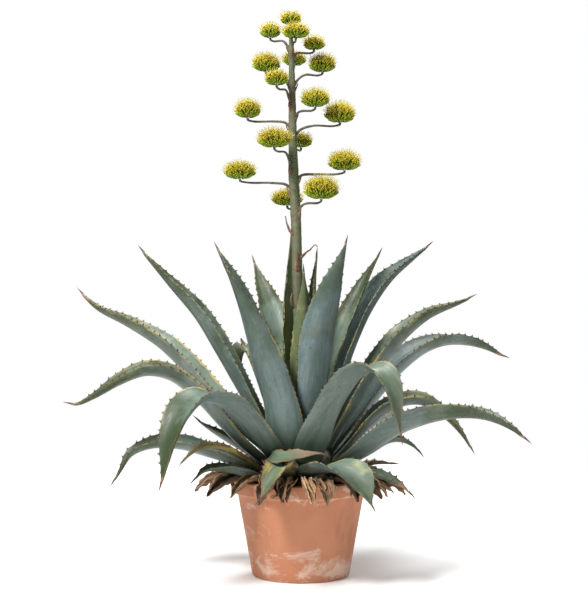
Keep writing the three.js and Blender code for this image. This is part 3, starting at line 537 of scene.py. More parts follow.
def terracotta_look():
    """Fired clay with grit, turning marks, damp and a crust of lime at the foot and the rim."""
    look = Look("terracotta")
    place = look.place()
    _, _, height = look.parts(place)
    grit = look.noise(place, 230, 5, 0.7)
    look.colour = look.blend(look.noise(place, 8, 6, 0.6), (0.4, 0.14, 0.065), (0.56, 0.25, 0.135))
    look.cover(grit, 0.55, 0.75, 0, 0.4, (0.3, 0.11, 0.06))
    lime = look.noise(look.stretch(place, (10, 10, 16)), 1, 7, 0.68, 0.6)
    lower = look.between(height, 0.02, 0.16, 0.13, 0)
    upper = look.between(height, 0.2, 0.29, 0, 0.08)
    lime = look.sum("ADD", lime, look.sum("ADD", lower, upper))
    look.cover(lime, 0.57, 0.72, 0, 0.55, (0.72, 0.6, 0.5))
    look.cover(look.grained(place, (9, 9, 3), 5, 0.6), 0.56, 0.74, 0, 0.4, (0.24, 0.09, 0.05))
    normal = look.bump(look.noise(look.stretch(place, (1.5, 1.5, 150)), 1, 3), 0.22, 0.0015)
    normal = look.bump(lime, 0.12, 0.001, look.bump(grit, 0.3, 0.0008, normal))
    return look.finish(look.between(lime, 0.4, 0.7, 0.68, 0.9), normal)


def soil_look(name, dark, light):
    look = Look(name)
    place = look.place()
    lumps = look.noise(place, 60, 8, 0.7)
    grit = look.noise(place, 400, 4, 0.7)
    look.colour = look.blend(lumps, dark, light)
    look.cover(grit, 0.6, 0.72, 0, 0.6, (0.36, 0.29, 0.22))
    normal = look.bump(grit, 0.6, 0.0015, look.bump(lumps, 0.9, 0.006))
    return look.finish(look.between(grit, 0.3, 0.7, 0.85, 0.98), normal)


def floor_look():
    look = Look("pale_floor")
    clouds = look.noise(look.place(), 1.6, 4)
    look.colour = look.blend(clouds, (0.87, 0.87, 0.865), (0.91, 0.91, 0.905))
    return look.finish(0.85)


def leaf_looks():
    """Each leaf look by its name: the width and yellowness of its margins, then what is its own."""
    rows = [
        ("plain", 0.003, 0.6, dict(pale=0.32)),
        ("blue", 0.0035, 0.75, dict(blue=0.75, tip_darkness=0.72)),
        ("striped", 0.005, 0.8, dict(pale=0.35, blue=0.2)),
        ("golden", 0.009, 1.0, dict(pale=0.35, blue=0.1, blotch=0.15)),
        ("tipped", 0.005, 0.8, dict(blue=0.6)),
        ("lined", 0.0055, 1.0, dict(pale=0.32, blue=0.4, tip_darkness=0.72)),
        ("bent", 0.009, 0.95, dict(blue=0.05, gold_from=0.45, tip_darkness=0.5)),
        ("heart", 0.007, 0.9, dict(pale=0.25, green=0.75, blotch=0.4, tip_darkness=0.6)),
        ("yellow", 0.03, 1.0, dict(dry=0.1, pale=0.3, blue=0.0, green=0.3, blotch=0.4, rust=0.8)),
        ("patched", 0.004, 0.6, dict(pale=0.45, blotch=0.6, blue=0.1, tip_darkness=0.6)),
        ("old", 0.012, 0.8, dict(dry=0.45, pale=0.25, end=0.86, blue=0.0, rust=0.6)),
        ("dry_end", 0.003, 0.4, dict(dry=0.05, pale=0.3, end=0.76, blue=0.0)),
        ("withered", 0.008, 0.5,
         dict(dry=0.62, pale=0.25, blue=0.0, green=0.2, rust=0.8, tip_darkness=0.5)),
    ]
    return {name: leaf_look("leaf_" + name, band, gold, **own) for name, band, gold, own in rows}


LEAF_LOOKS = leaf_looks()
THORN = thorn_look()
STALK_LOOK = stalk_look("stalk", (0.045, 0.066, 0.024), (0.14, 0.175, 0.08), (0.135, 0.11, 0.07))
BRANCH_LOOK = stalk_look(
    "branch", (0.05, 0.045, 0.028), (0.15, 0.135, 0.09), (0.11, 0.075, 0.055)
)
BRACT_LOOK = fibre_look("bract", (0.08, 0.035, 0.02), (0.32, 0.17, 0.1), (300, 14, 1))
ROOT_LOOK = fibre_look("old_base", (0.06, 0.065, 0.04), (0.2, 0.2, 0.13), (90, 90, 25))
DRY_LOOK = fibre_look("dry_leaf", (0.04, 0.016, 0.007), (0.5, 0.27, 0.13), (200, 10, 1))
OVARY_LOOK = petal_look("ovary", (0.07, 0.14, 0.006), (0.25, 0.36, 0.015), (0.5, 0.45, 0.02))
TEPAL_LOOK = petal_look("tepal", (0.3, 0.25, 0.004), (0.64, 0.5, 0.01), (0.75, 0.58, 0.03))
STAMEN_LOOK = petal_look("stamen", (0.52, 0.48, 0.08), (0.76, 0.7, 0.2), (0.72, 0.56, 0.04))
SPENT_LOOK = petal_look(
    "spent_flower", (0.22, 0.07, 0.015), (0.46, 0.17, 0.04), (0.16, 0.06, 0.02)
)
TERRACOTTA = terracotta_look()
SOIL = soil_look("soil", (0.035, 0.024, 0.017), (0.12, 0.085, 0.06))
PEBBLE = soil_look("pebble", (0.16, 0.13, 0.1), (0.4, 0.35, 0.29))


# Living leaves

LEAF_THICKNESS = [(0, 0.135), (0.25, 0.1), (0.6, 0.06), (1, 0.04)]
LEAF_OUTLINE = [
    (0, 0.56), (0.12, 0.56), (0.3, 0.84), (0.48, 1), (0.64, 0.93), (0.8, 0.6), (0.92, 0.24),
    (1, 0.02),
]
TAPERED_OUTLINE = [
    (0, 1), (0.12, 1), (0.3, 0.82), (0.48, 0.72), (0.64, 0.55), (0.8, 0.32), (0.92, 0.14),
    (1, 0.02),
]
BASE_CURL = 0.55
FULL_CURL = 1
CURL_GROWTH = 0.38
TURN_GROWTH = 0.5
FOOT_SHARE = 0.82
FOOT_LENGTH = 0.2
THINNEST_LEAF = 4.5
THICKEST_SECTION = 1.7
UPPER_SHARE = 0.25
SPINE_LENGTH = 32
SPINE_RADIUS = 3.2
SPINE_INSIDE = 5
BLADE_INSIDE = 4
SPINE_SIDES = 10
SPINE_FORM = [0.5, 1.04, 1.02, 0.9, 0.76, 0.6, 0.42, 0.25, 0.06]
EDGE_THICKNESS = 1.8
ROW_SPACING = 5.5
POINTS_ACROSS = 11
TOOTH_PITCH = [(0, 14), (0.15, 15), (0.45, 24), (0.8, 26), (1, 20)]
TOOTH_SIZE = [(0, 0.6), (0.12, 0.7), (0.4, 1.05), (0.8, 1.1), (1, 0.8)]
FIRST_TOOTH = 0.06
LAST_TOOTH = 0.965
TOOTH_HEIGHT = 6.2
TOOTH_LENGTH = 3.7
TOOTH_SIDES = 5
TOOTH_RINGS = [(-0.25, 1, 0.62, 0), (0.3, 0.56, 0.4, 0.12), (0.72, 0.27, 0.2, 0.5)]
TOOTH_HUMP = 3.0
HUMP_WIDTH = 6.0
RIM_ROOM = 42
MARGIN_WAVE = 2.2
SEAT_CLEARANCE = 0.6
SEAT_SEARCH = 90.0
SEAT_STEPS = 26
STEM_SINK = 0.99


def leaf(name, look, azimuth, width, seat, knots, **more):
    return dict(name=name, look=look, azimuth=azimuth, width=width, seat=seat, knots=knots, **more)


LEAVES = [
    leaf("leaf_left_long", "golden", 162.5, 178, 402, roll=6, base=0.56,
         knots=[(165, 444), (258, 528), (336, 598), (403, 664), (492, 740), (618, 814),
                (730, 869), (808, 940)]),
    leaf("leaf_left_wave", "golden", -169.5, 170, 364, roll=-3, base=0.56,
         knots=[(190, 433), (261, 502), (345, 590), (430, 653), (510, 667), (590, 640),
                (675, 595), (730, 574), (775, 580)]),
    leaf("leaf_left_high", "striped", 180, 176, 426, roll=-3, base=0.7,
         knots=[(112, 480), (150, 535), (207, 628), (272, 737), (342, 849), (426, 950),
                (535, 1084)]),
    leaf("leaf_back_left_high", "blue", 155, 140, 446, base=0.66,
         knots=[(108, 540), (152, 660), (184, 775), (214, 870), (250, 960), (289, 1038),
                (323, 1098)]),
    leaf("leaf_front_left_high", "lined", -116, 166, 415, base=0.9, tapered=True,
         knots=[(122, 480, -6), (140, 570, -18), (172, 710, -44), (210, 845, -78),
                (250, 950, -108), (285, 1026, -138)]),
    leaf("leaf_back_high", "golden", 98, 116, 446, base=0.4,
         knots=[(84, 540, 8), (140, 660, 22), (205, 770, 44), (270, 880, 72), (335, 970, 98),
                (390, 1055, 118)]),
    leaf("leaf_heart_back", "heart", 125, 104, 467, curl=1.2, base=0.5,
         knots=[(48, 560, 4), (62, 700, 2), (75, 850, -6), (85, 1000, -17), (88, 1142, -25)]),
    leaf("leaf_heart_front", "heart", -80, 84, 467, base=0.5,
         knots=[(52, 560, -8), (72, 680, -10), (88, 800, -4), (98, 920, -6), (102, 1024, -10)]),
    leaf("leaf_heart_right", "heart", 20, 80, 467, curl=1.2, base=0.42,
         knots=[(46, 560, 5), (52, 700, 12), (56, 860, 20), (60, 980, 27), (70, 1078, 32)]),
    leaf("leaf_front_right_high", "blue", -61, 146, 444, base=0.8,
         knots=[(84, 540, 0), (113, 660, -4), (143, 780, -2), (178, 900, 8), (208, 1030, 30),
                (230, 1115, 42)]),
    leaf("leaf_right_blade", "golden", 42, 106, 452, base=0.48,
         knots=[(80, 560, -5), (120, 690, -18), (165, 800, -30), (215, 900, -42),
                (265, 990, -52), (320, 1078, -60)]),
    leaf("leaf_right_high", "blue", 26, 162, 439, base=0.6,
         knots=[(104, 555), (151, 665), (199, 775), (251, 868), (330, 965), (420, 1036),
                (508, 1100)]),
    leaf("leaf_right_rising", "golden", 5, 178, 420, roll=1, base=0.56,
         knots=[(140, 507), (210, 607), (270, 691), (340, 775), (425, 846), (525, 892),
                (588, 922)]),
    leaf("leaf_right_arch", "tipped", 25.5, 172, 399, roll=-2, base=0.5,
         knots=[(155, 453), (225, 523), (303, 602), (378, 670), (456, 719), (540, 745),
                (608, 748), (698, 733), (818, 688)]),
    leaf("leaf_front_right_bent", "bent", -74, 148, 388, heading=-42, curl=0.8, base=0.84,
         knots=[(132, 432, 2), (185, 513, 22), (252, 605, 55), (320, 680, 96), (372, 694, 130),
                (420, 645, 158), (450, 548, 176), (462, 472, 187)]),
    leaf("leaf_right_low_arch", "striped", -26, 178, 350, roll=-6, base=0.56,
         knots=[(165, 382), (275, 448), (385, 505), (510, 541), (630, 545), (727, 513),
                (787, 470)]),
    leaf("leaf_right_drooping", "golden", -1.5, 136, 375, roll=4, base=0.44,
         knots=[(150, 421), (205, 477), (265, 530), (330, 560), (390, 565), (445, 541),
                (498, 497), (540, 449), (572, 396)]),
    leaf("leaf_right_low", "plain", 13, 98, 338, roll=4,
         knots=[(165, 362), (235, 395), (300, 428), (350, 428), (395, 406), (425, 372)]),
    leaf("leaf_right_half_dry", "old", -5, 54, 327, torn=0.25,
         knots=[(160, 344), (220, 363), (275, 369), (330, 366)]),
    leaf("leaf_right_dry_end", "dry_end", -27, 84, 317, torn=0.1,
         knots=[(155, 326), (235, 342), (310, 331), (370, 308), (410, 275)]),
    leaf("leaf_front_hanging", "patched", -84, 158, 338, heading=-58, curl=0.7, base=0.5,
         knots=[(150, 352, 2), (192, 368, 42), (235, 375, 88), (280, 356, 134), (332, 306, 168),
                (370, 256, 193)]),
    leaf("leaf_front_yellow", "yellow", -112, 92, 319, curl=0.9, base=0.7, torn=0.06,
         knots=[(151, 344, 10), (207, 373, 18), (257, 382, 28), (316, 362, 32), (371, 326, 29),
                (416, 290, 18)]),
    leaf("leaf_front_withered", "withered", -126, 58, 354, heading=-60, roll=42, curl=0.5,
         teeth=False, wavy=4, torn=0.13,
         knots=[(170, 397, -6), (184, 408, 68), (180, 421, 140), (170, 430, 196),
                (163, 420, 230)]),
    leaf("leaf_front_left_bent", "striped", -141, 168, 388.5, curl=0.8, base=0.8,
         knots=[(165, 453), (240, 530), (328, 586), (414, 594), (470, 553), (512, 480),
                (538, 400), (562, 322)]),
    leaf("leaf_left_low_arch", "striped", -174, 132, 327, roll=-6, base=0.44,
         knots=[(160, 350), (230, 376), (315, 402), (395, 424), (490, 426), (555, 400),
                (590, 350), (625, 296)]),
    leaf("leaf_left_yellow", "yellow", -155, 82, 336, roll=-4,
         knots=[(160, 360), (215, 393), (285, 426), (355, 431), (400, 409), (430, 377)]),
    leaf("leaf_left_dark", "striped", 167, 88, 341,
         knots=[(145, 364), (190, 400), (245, 430), (315, 472), (372, 516)]),
    leaf("leaf_left_low", "plain", -145, 94, 315, roll=-4, base=0.5,
         knots=[(160, 330), (235, 349), (315, 367), (375, 368), (428, 330)]),
    leaf("leaf_back_left_arch", "heart", 132, 120, 420, base=0.42,
         knots=[(122, 500), (170, 595), (214, 674), (254, 720), (292, 732), (322, 706, -8),
                (338, 655, -20), (343, 598, -34)]),
    leaf("leaf_back_1", "striped", 49, 150, 337, base=0.44,
         knots=[(180, 378), (280, 430), (390, 470), (490, 482), (575, 466), (640, 430)]),
    leaf("leaf_back_2", "plain", 86, 150, 322, base=0.5,
         knots=[(170, 348), (250, 382), (350, 412), (450, 410), (540, 370), (600, 300)]),
    leaf("leaf_back_3", "striped", 122, 150, 336, base=0.5,
         knots=[(180, 374), (280, 426), (380, 466), (470, 478), (545, 458)]),
    leaf("leaf_back_4", "plain", 66, 168, 375, base=0.42,
         knots=[(170, 438), (250, 520), (340, 590), (440, 640), (550, 650), (640, 612),
                (700, 550)]),
    leaf("leaf_back_5", "striped", 108, 170, 382, base=0.42,
         knots=[(165, 450), (240, 537), (330, 622), (430, 692), (540, 722), (640, 712),
                (720, 672)]),
    leaf("leaf_back_6", "plain", 59, 150, 411, base=0.4,
         knots=[(135, 480), (203, 562), (268, 640), (322, 700), (362, 736)]),
    leaf("leaf_back_7", "striped", 91, 160, 422, base=0.42,
         knots=[(125, 508), (185, 604), (255, 708), (330, 800), (410, 880), (490, 940)]),
]


class Blade:
    """The smooth form of one leaf: where each point of its surface lies."""

    def __init__(self, spec, knots):
        self.spec = spec
        turn = math.radians(spec["azimuth"])
        across, along = math.cos(turn), math.sin(turn)
        spots = []
        for reach, height, *drift in knots:
            aside = drift[0] if drift else 0
            spots.append(
                (reach * across - aside * along, reach * along + aside * across, height)
            )
        self.line = Line(spots)
        self.length = self.line.length
        self.spiny = spec.get("spine", True)
        self.spine_start = 1 - SPINE_LENGTH / self.length if self.spiny else 1

    def frame(self, share):
        share = np.atleast_1d(share)
        along = self.line.along(share)
        azimuth = self.spec["azimuth"]
        heading = self.spec.get("heading", azimuth)
        turn = np.radians(mix(azimuth, heading, smooth(share, 0, TURN_GROWTH)))
        across = np.stack([-np.sin(turn), np.cos(turn), np.zeros(len(share))], axis=1)
        across = unit(across - along * (across * along).sum(1)[:, None])
        lean = np.radians(self.spec.get("twist", 0) * share + self.spec.get("roll", 0))
        across = turn_about(across, along, lean)
        return self.line.at(share), along, across, np.cross(along, across)

    def half(self, share):
        spec = self.spec
        body = np.clip(share / self.spine_start, 0, 1)
        wide = np.maximum(spec["width"] / 2 * read_curve(spec["outline"], body), SPINE_RADIUS)
        if self.spiny:
            point = SPINE_RADIUS * (1 - share) / (1 - self.spine_start)
            wide = np.where(share >= self.spine_start, point, wide)
        return wide

    def curl(self, share):
        full = self.spec.get("curl", FULL_CURL)
        if not self.spec.get("seated", True):
            return np.full(np.shape(share), full)
        return mix(BASE_CURL, full, smooth(share, 0, CURL_GROWTH))

    def points(self, share, u, lift, half=None, edge=EDGE_THICKNESS, wave=0.0):
        """Points for equally long lists of shares along, places u across and lifts."""
        place, _, across, inward = self.frame(share)
        half = self.half(share) if half is None else half
        curl = self.curl(share)
        bend = half / curl
        full = self.spec.get("thickness", 1) * self.spec["width"]
        full = full * read_line(LEAF_THICKNESS, share)
        thinnest = self.spec.get("thinnest", THINNEST_LEAF)
        thick = np.maximum(np.minimum(full, half * THICKEST_SECTION), thinnest)
        thick = thick * (1 - u * u)
        side = np.where(lift > 0, UPPER_SHARE, np.where(lift < 0, UPPER_SHARE - 1, 0))
        offset = thick * side + np.sign(lift) * np.minimum(edge, half * 0.5) / 2 + wave
        turn = (curl * u)[:, None]
        normal = inward * np.cos(turn) - across * np.sin(turn)
        return (
            place
            + across * bend[:, None] * np.sin(turn)
            + inward * bend[:, None] * (1 - np.cos(turn))
            + normal * offset[:, None]
        )


def both_sides(shares, u):
    """Shares along, places across and lifts of a blade's two sides, ring by ring."""
    lifts = np.r_[np.ones(len(u)), -np.ones(len(u))]
    count = len(shares)
    return np.repeat(shares, 2 * len(u)), np.tile(np.r_[u, u[::-1]], count), np.tile(lifts, count)


def blade_grain(blade, share, u, lift, half):
    """Metres across and along a blade, for the materials that follow its grain."""
    return np.stack([u * half * MM, share * blade.length * MM, lift * 0.1], axis=1)


def loose_blade(azimuth, width, outline, knots, rows, wide, **more):
    """A blade without a seat on the stem or an end spine, and the shares along, places across
    and lifts of its points."""
    spec = dict(azimuth=azimuth, width=width, outline=outline, spine=False, seated=False, **more)
    shares, u = np.linspace(0, 1, rows), np.linspace(-1, 1, wide)
    return Blade(spec, knots), *both_sides(shares, u)


def tears(lengths, u, seed):
    """How ragged the two margins of a dry blade are, between about -1 and 1."""
    spots = np.stack([lengths, np.sign(u) * 50], 1)
    return (0.7 * wobble(spots, 34, seed) + 0.45 * wobble(spots, 11, seed + 7)) * np.abs(u) ** 3


def tooth_places(length, stream):
    """Shares of the length where the teeth of one margin stand, closest near the base."""
    places = [FIRST_TOOTH]
    while places[-1] < LAST_TOOTH:
        pitch = float(read_line(TOOTH_PITCH, places[-1]))
        places.append(places[-1] + pitch * stream.uniform(0.8, 1.2) / length)
    return np.array(places[:-1])


def outside_stem(points):
    return np.hypot(points[:, 0], points[:, 1]) - read_line(CAUDEX, points[:, 2])


def slide_clear(points, along, clearance):
    """How far each point has to slide forward to stand that clear of the stem."""
    low, high = np.full(len(points), -SEAT_SEARCH), np.full(len(points), SEAT_SEARCH)
    for _ in range(SEAT_STEPS):
        middle = (low + high) / 2
        clear = outside_stem(points + along * middle[:, None]) > clearance
        high = np.where(clear, middle, high)
        low = np.where(clear, low, middle)
    return high


def tooth(shape, foot, along, outward, normal, size, hook):
    """A hooked thorn on a broad foot, in three rings and a point."""
    sides = TOOTH_SIDES
    around = np.arange(sides) * 2 * math.pi / sides
    rings = []
    for rise, long, thick, slip in TOOTH_RINGS:
        centre = foot + outward * rise * TOOTH_HEIGHT * size + along * slip * hook
        ring = centre + np.outer(np.cos(around), along) * TOOTH_LENGTH * long * size
        rings.append(ring + np.outer(np.sin(around), normal) * TOOTH_LENGTH * thick * size)
    rings = np.array(rings)
    tip = foot + outward * TOOTH_HEIGHT * size + along * hook
    quads = skin(rings)
    last = 2 * sides + np.arange(sides)
    fan = np.stack([last, np.roll(last, -1), np.full(sides, 3 * sides)], axis=1)
    if np.dot(np.cross(along, normal), outward) < 0:
        quads, fan = quads[:, ::-1], fan[:, ::-1]
    marks = np.zeros((3 * sides + 1, 3))
    marks[:, 0] = [0] * sides + [0.35] * sides + [0.75] * sides + [1]
    shape.add(np.vstack([rings.reshape(-1, 3), tip]), [quads, fan], 1, marks=marks)


def spine(shape, blade):
    """The long end thorn, round and slightly bent, on the blade's tip."""
    start = 1 - (SPINE_LENGTH + SPINE_INSIDE) / blade.length
    count = len(SPINE_FORM)
    radii = SPINE_RADIUS * np.array(SPINE_FORM)
    rings = rod(blade.line.at(np.linspace(start, 1, count)), radii, SPINE_SIDES)
    points, faces = closed_skin(rings)
    marks = np.zeros((len(points), 3))
    marks[:, 0] = np.repeat(np.linspace(0, 1, count), SPINE_SIDES)
    shape.add(points, faces, 1, marks=marks)


def living_leaf(spec, seed):
    stream = np.random.default_rng(seed)
    outline = TAPERED_OUTLINE if spec.get("tapered") else LEAF_OUTLINE
    base = spec.get("base")

    def width_share(share, value):
        if share >= FOOT_LENGTH:
            return value
        return (base or value) * (1 if share > 0 else FOOT_SHARE)

    foot = [(share, width_share(share, value)) for share, value in outline]
    seat = (float(read_line(CAUDEX, spec["seat"])), spec["seat"])
    blade = Blade({**spec, "outline": foot}, [seat, *spec["knots"]])
    shape = Shape()
    rows = int(blade.length / ROW_SPACING)
    shares = np.linspace(0, 1 - (SPINE_LENGTH - BLADE_INSIDE) / blade.length, rows)
    u = np.sin(np.linspace(-math.pi / 2, math.pi / 2, POINTS_ACROSS))
    grid_share, grid_u, grid_lift = both_sides(shares, u)

    toothed = spec.get("teeth", True)
    teeth = {side: tooth_places(blade.length, stream) for side in (-1, 1)} if toothed else {}

    half = blade.half(grid_share)
    ripple = wobble(np.stack([grid_share * blade.length, grid_u * 30], 1), 90, seed)
    for side, at in teeth.items():
        near = np.abs(grid_share[:, None] - at[None]).min(1) * blade.length
        near = np.where(np.sign(grid_u) == side, near, 1e9)
        size = read_line(TOOTH_SIZE, grid_share)
        hump = (np.exp(-((near / HUMP_WIDTH / size) ** 2)) - 0.2) * TOOTH_HUMP * size
        hump = np.where(near < 1e8, hump, 0)
        half = half + hump * np.abs(grid_u) ** 6 * smooth(half, 6, 18)
    half = half * (1 + spec.get("torn", 0) * tears(grid_share * blade.length, grid_u, seed))
    wave = ripple * MARGIN_WAVE * grid_u**4 * smooth(half, 10, 40) * spec.get("wavy", 1)
    wave = wave * smooth(grid_share, 0.1, 0.25)
    points = blade.points(grid_share, grid_u, grid_lift, half, wave=wave)

    _, along, _, _ = blade.frame(np.zeros(1))
    near_stem = grid_share < 0.2
    slides = np.zeros(len(points))
    ahead = np.tile(along, (near_stem.sum(), 1))
    slides[near_stem] = slide_clear(points[near_stem], ahead, SEAT_CLEARANCE)
    slides = slides.reshape(rows, -1)
    slides[1:] = np.maximum(slides[1:], 0)
    step = blade.length / (rows - 1)
    for row in range(1, rows):
        slides[row] = np.maximum(slides[row], slides[row - 1] - 0.85 * step)
    points = points + along * slides.reshape(-1, 1)

    _, faces = closed_skin(points.reshape(rows, 2 * POINTS_ACROSS, 3))
    grain = blade_grain(blade, grid_share, grid_u, grid_lift, half)
    from_edge = (1 - np.abs(grid_u)) * np.maximum(half, RIM_ROOM) * MM
    marks = np.stack([from_edge, grid_share, (grid_lift > 0).astype(float)], axis=1)
    shape.add(points, faces, 0, grain, marks)

    for side, at in teeth.items():
        count = len(at)
        edge_half = blade.half(at) + TOOTH_HUMP * 0.6 * smooth(blade.half(at), 6, 18)
        spots = blade.points(at, np.full(count, float(side)), np.zeros(count), edge_half)
        _, direction, across, inward = blade.frame(at)
        curl = blade.curl(at)[:, None]
        outward = unit(across * side * np.cos(curl) + inward * np.sin(curl))
        normal = np.cross(outward, direction)
        sizes = stream.uniform(0.8, 1.15, count) * np.clip(blade.half(at) / 22, 0.5, 1)
        sizes = sizes * read_line(TOOTH_SIZE, at)
        hooks = stream.uniform(-2.6, 0.8, count)
        for k in range(count):
            tooth(shape, spots[k], direction[k], outward[k], normal[k], sizes[k], hooks[k])
    spine(shape, blade)
    shape.piece(spec["name"] + "_fine", [LEAF_LOOKS[spec["look"]], THORN], spec["name"])


# Dead leaves

DRY_OUTLINE = [(0, 0.3), (0.2, 0.46), (0.5, 0.9), (0.75, 1), (0.92, 0.5), (1, 0.1)]
DRY_BUNCHES = [
    ("dry_leaves_left", 200,
     [(-26, 305, 60), (-13, 350, 70), (0, 310, 62), (13, 345, 70), (26, 305, 60)]),
    ("dry_leaves_front", 266, [(-22, 330, 68), (-8, 295, 60), (7, 325, 66), (21, 335, 68)]),
    ("dry_leaves_right", 331,
     [(-26, 320, 62), (-13, 345, 70), (0, 310, 62), (13, 350, 70), (26, 320, 60)]),
    ("dry_leaves_back", 76, [(-46, 310, 64), (-16, 330, 70), (16, 310, 66), (46, 325, 64)]),
]
DRY_CREST = (232, 330)
DRY_ROWS = 34
SHREDS = 5
STUB_INNER = 99.5
STUB_OUTER = 118
STUB_LOW = 299.5
STUB_HIGH = 303.5
STUB_SECTION = [
    (STUB_INNER, STUB_LOW), (STUB_OUTER, STUB_LOW), (STUB_OUTER, STUB_HIGH),
    (STUB_INNER, STUB_HIGH),
]
STUB_MARGIN = 8
STUB_STEPS = 40


def dry_blade(shape, azimuth, reach, width, stream, seed, lift=0.0, sway=22):
    droop = stream.uniform(16, 26)
    curl = stream.uniform(0.7, 2.2)
    twist = stream.uniform(-34, 34)
    drift = stream.uniform(-sway, sway)
    knots = [
        (104, (STUB_LOW + STUB_HIGH) / 2 + lift * 0.2), (160, 313 + lift), (205, 328 + lift),
        (DRY_CREST[0], DRY_CREST[1] + lift),
        ((DRY_CREST[0] + reach) / 2, DRY_CREST[1] + lift - 9 - droop / 3, drift * 0.35),
        (reach, 300 + 2 * lift - droop, drift),
    ]
    blade, share, u, lift = loose_blade(azimuth, width, DRY_OUTLINE, knots, DRY_ROWS, 11,
                                        curl=curl, twist=twist, thickness=0.3, thinnest=1.4)
    lengths = share * blade.length
    half = blade.half(share) * (1 + 0.28 * tears(lengths, u, seed))
    crumple = wobble(np.stack([lengths, u * half], 1), 26, seed + 1)
    pleats = np.sin(u * 5 + 2 * crumple)
    fold = (3.0 * crumple + 0.9 * pleats) * smooth(share, 0.45, 0.75)
    points = blade.points(share, u, lift, half, 0.9, fold)
    points, faces = closed_skin(points.reshape(DRY_ROWS, -1, 3))
    grain = blade_grain(blade, share, u, lift, half)
    marks = np.zeros((len(points), 3))
    marks[:, 0] = stream.uniform(0, 1) ** 1.5
    marks[:, 1] = np.abs(u) ** 5
    shape.add(points, faces, 0, grain + [seed * 0.1, 0, 0], marks)


def dry_leaves():
    for number, (name, middle, blades) in enumerate(DRY_BUNCHES):
        stream = np.random.default_rng(400 + number)
        shape = Shape()
        for k, (aside, reach, width) in enumerate(blades):
            dry_blade(shape, middle + aside, reach, width, stream, 500 + 10 * number + k)
        low, high = blades[0][0], blades[-1][0]
        for k in range(SHREDS):
            aside = mix(low, high, (k + stream.uniform(0.2, 0.8)) / SHREDS)
            dry_blade(shape, middle + aside, stream.uniform(240, 330), stream.uniform(20, 46),
                      stream, 800 + 20 * number + k, stream.uniform(1, 8), 70)
        half_angle = blades[-1][0] + STUB_MARGIN
        turns = np.radians(np.linspace(middle - half_angle, middle + half_angle, STUB_STEPS))
        rings = [[on_circle(radius, turn, z) for radius, z in STUB_SECTION] for turn in turns]
        shape.add(*closed_skin(np.array(rings)))
        shape.piece(name + "_fine", [DRY_LOOK], name)


# Flower stalk

HEADS = [
    (0, 0, 1804, 0, 78, 44), (-75, 58, 1752, 34, 98, 50), (165, 70, 1763, 40, 74, 52),
    (12, 76, 1724, 24, 78, 48), (-165, 87, 1648, 40, 100, 62), (84, 78, 1680, 44, 86, 48),
    (18, 106, 1653, 50, 96, 62), (-125, 86, 1598, 58, 86, 52), (-25, 82, 1532, 28, 100, 62),
    (176, 147, 1500, 30, 94, 64), (8, 158, 1486, 48, 110, 70), (-122, 112, 1396, 66, 120, 64),
    (68, 72, 1408, 50, 82, 52), (-10, 169, 1326, 26, 114, 66), (-170, 178, 1298, 32, 112, 60),
    (-45, 119, 1230, 36, 122, 76), (107, 92, 1216, 38, 112, 56),
]
BRANCH_SOCKET = 6
BRANCH_ROWS = 30
BRANCH_SIDES = 12
BRANCH_FORM = [(0, 6.2), (0.2, 4.5), (0.6, 3.6), (0.9, 3.5), (1, 4.4)]
STALK_ROWS = 240
STALK_SIDES = 28
SCARS = [1105, 1030, 985, 935, 868, 1150, 1185, 790, 720, 650]
CAUDEX_ROWS = 60
CAUDEX_SIDES = 84
BRACTS = [
    (195, 26, [(8, 1105), (24, 1128), (34, 1152), (38, 1178)]),
    (-18, 18, [(8, 1030), (26, 1052), (46, 1068), (62, 1084), (70, 1076)]),
    (-95, 16, [(8, 985), (21, 1005), (23, 1035), (20, 1060)]),
    (200, 20, [(8, 868), (24, 886), (27, 905), (22, 925)]),
    (70, 20, [(8, 935), (25, 955), (33, 980), (32, 1005)]),
]
BRACT_ROWS = 20
BRACT_OUTLINE = [(0, 1), (0.35, 1), (0.7, 0.6), (1, 0.08)]


def stalk_centre(height):
    return np.array([float(read_line(STALK, height)), 0.0, float(height)])


def head_seat(head):
    azimuth, reach, seat = head[:3]
    return stalk_centre(seat) + on_circle(reach, math.radians(azimuth))


def branch(shape, head, seed):
    azimuth, reach, seat_height, drop = head[:4]
    out = on_circle(1, math.radians(azimuth))
    root = seat_height - drop
    seat = head_seat(head)
    slip = stalk_centre(seat_height)[0] - stalk_centre(root)[0]

    def at(away, height):
        return stalk_centre(root) + out * away + np.array([0, 0, height - root])

    knots = [
        at(0, root - 14),
        at(float(read_line(STALK, root, 2)) + 9, root + drop * 0.42),
        at(reach * 0.42, root + min(drop * 0.8, drop - 2 * BRANCH_SOCKET)),
        at(reach * 0.86 + slip, seat_height - 2 * BRANCH_SOCKET),
        np.array([seat[0], seat[1], seat_height - BRANCH_SOCKET]),
        np.array([seat[0], seat[1], seat_height]),
    ]
    shares = np.linspace(0, 1, BRANCH_ROWS)
    rings = rod(Line(knots).at(shares), read_line(BRANCH_FORM, shares), BRANCH_SIDES, seed, 0.25)
    shape.add(*closed_skin(rings), 3)


def bract(shape, azimuth, width, knots, height, seed, curl=0.7):
    """A papery scale on the stalk, its knots measured from the stalk's middle at that height."""
    blade, share, u, lift = loose_blade(azimuth, width, BRACT_OUTLINE, knots, BRACT_ROWS, 9,
                                        curl=curl, thinnest=1.6)
    lengths = share * blade.length
    torn = wobble(np.stack([lengths, np.sign(u) * 50], 1), 12, seed)
    half = blade.half(share) * (1 + 0.14 * torn * np.abs(u) ** 3)
    crumple = wobble(np.stack([lengths, u * half], 1), 18, seed + 1)
    points = blade.points(share, u, lift, half, 0.7, crumple * 0.8)
    points = points + [stalk_centre(height)[0], 0, 0]
    points, faces = closed_skin(points.reshape(BRACT_ROWS, -1, 3))
    shape.add(points, faces, 1, blade_grain(blade, share, u, lift, half))


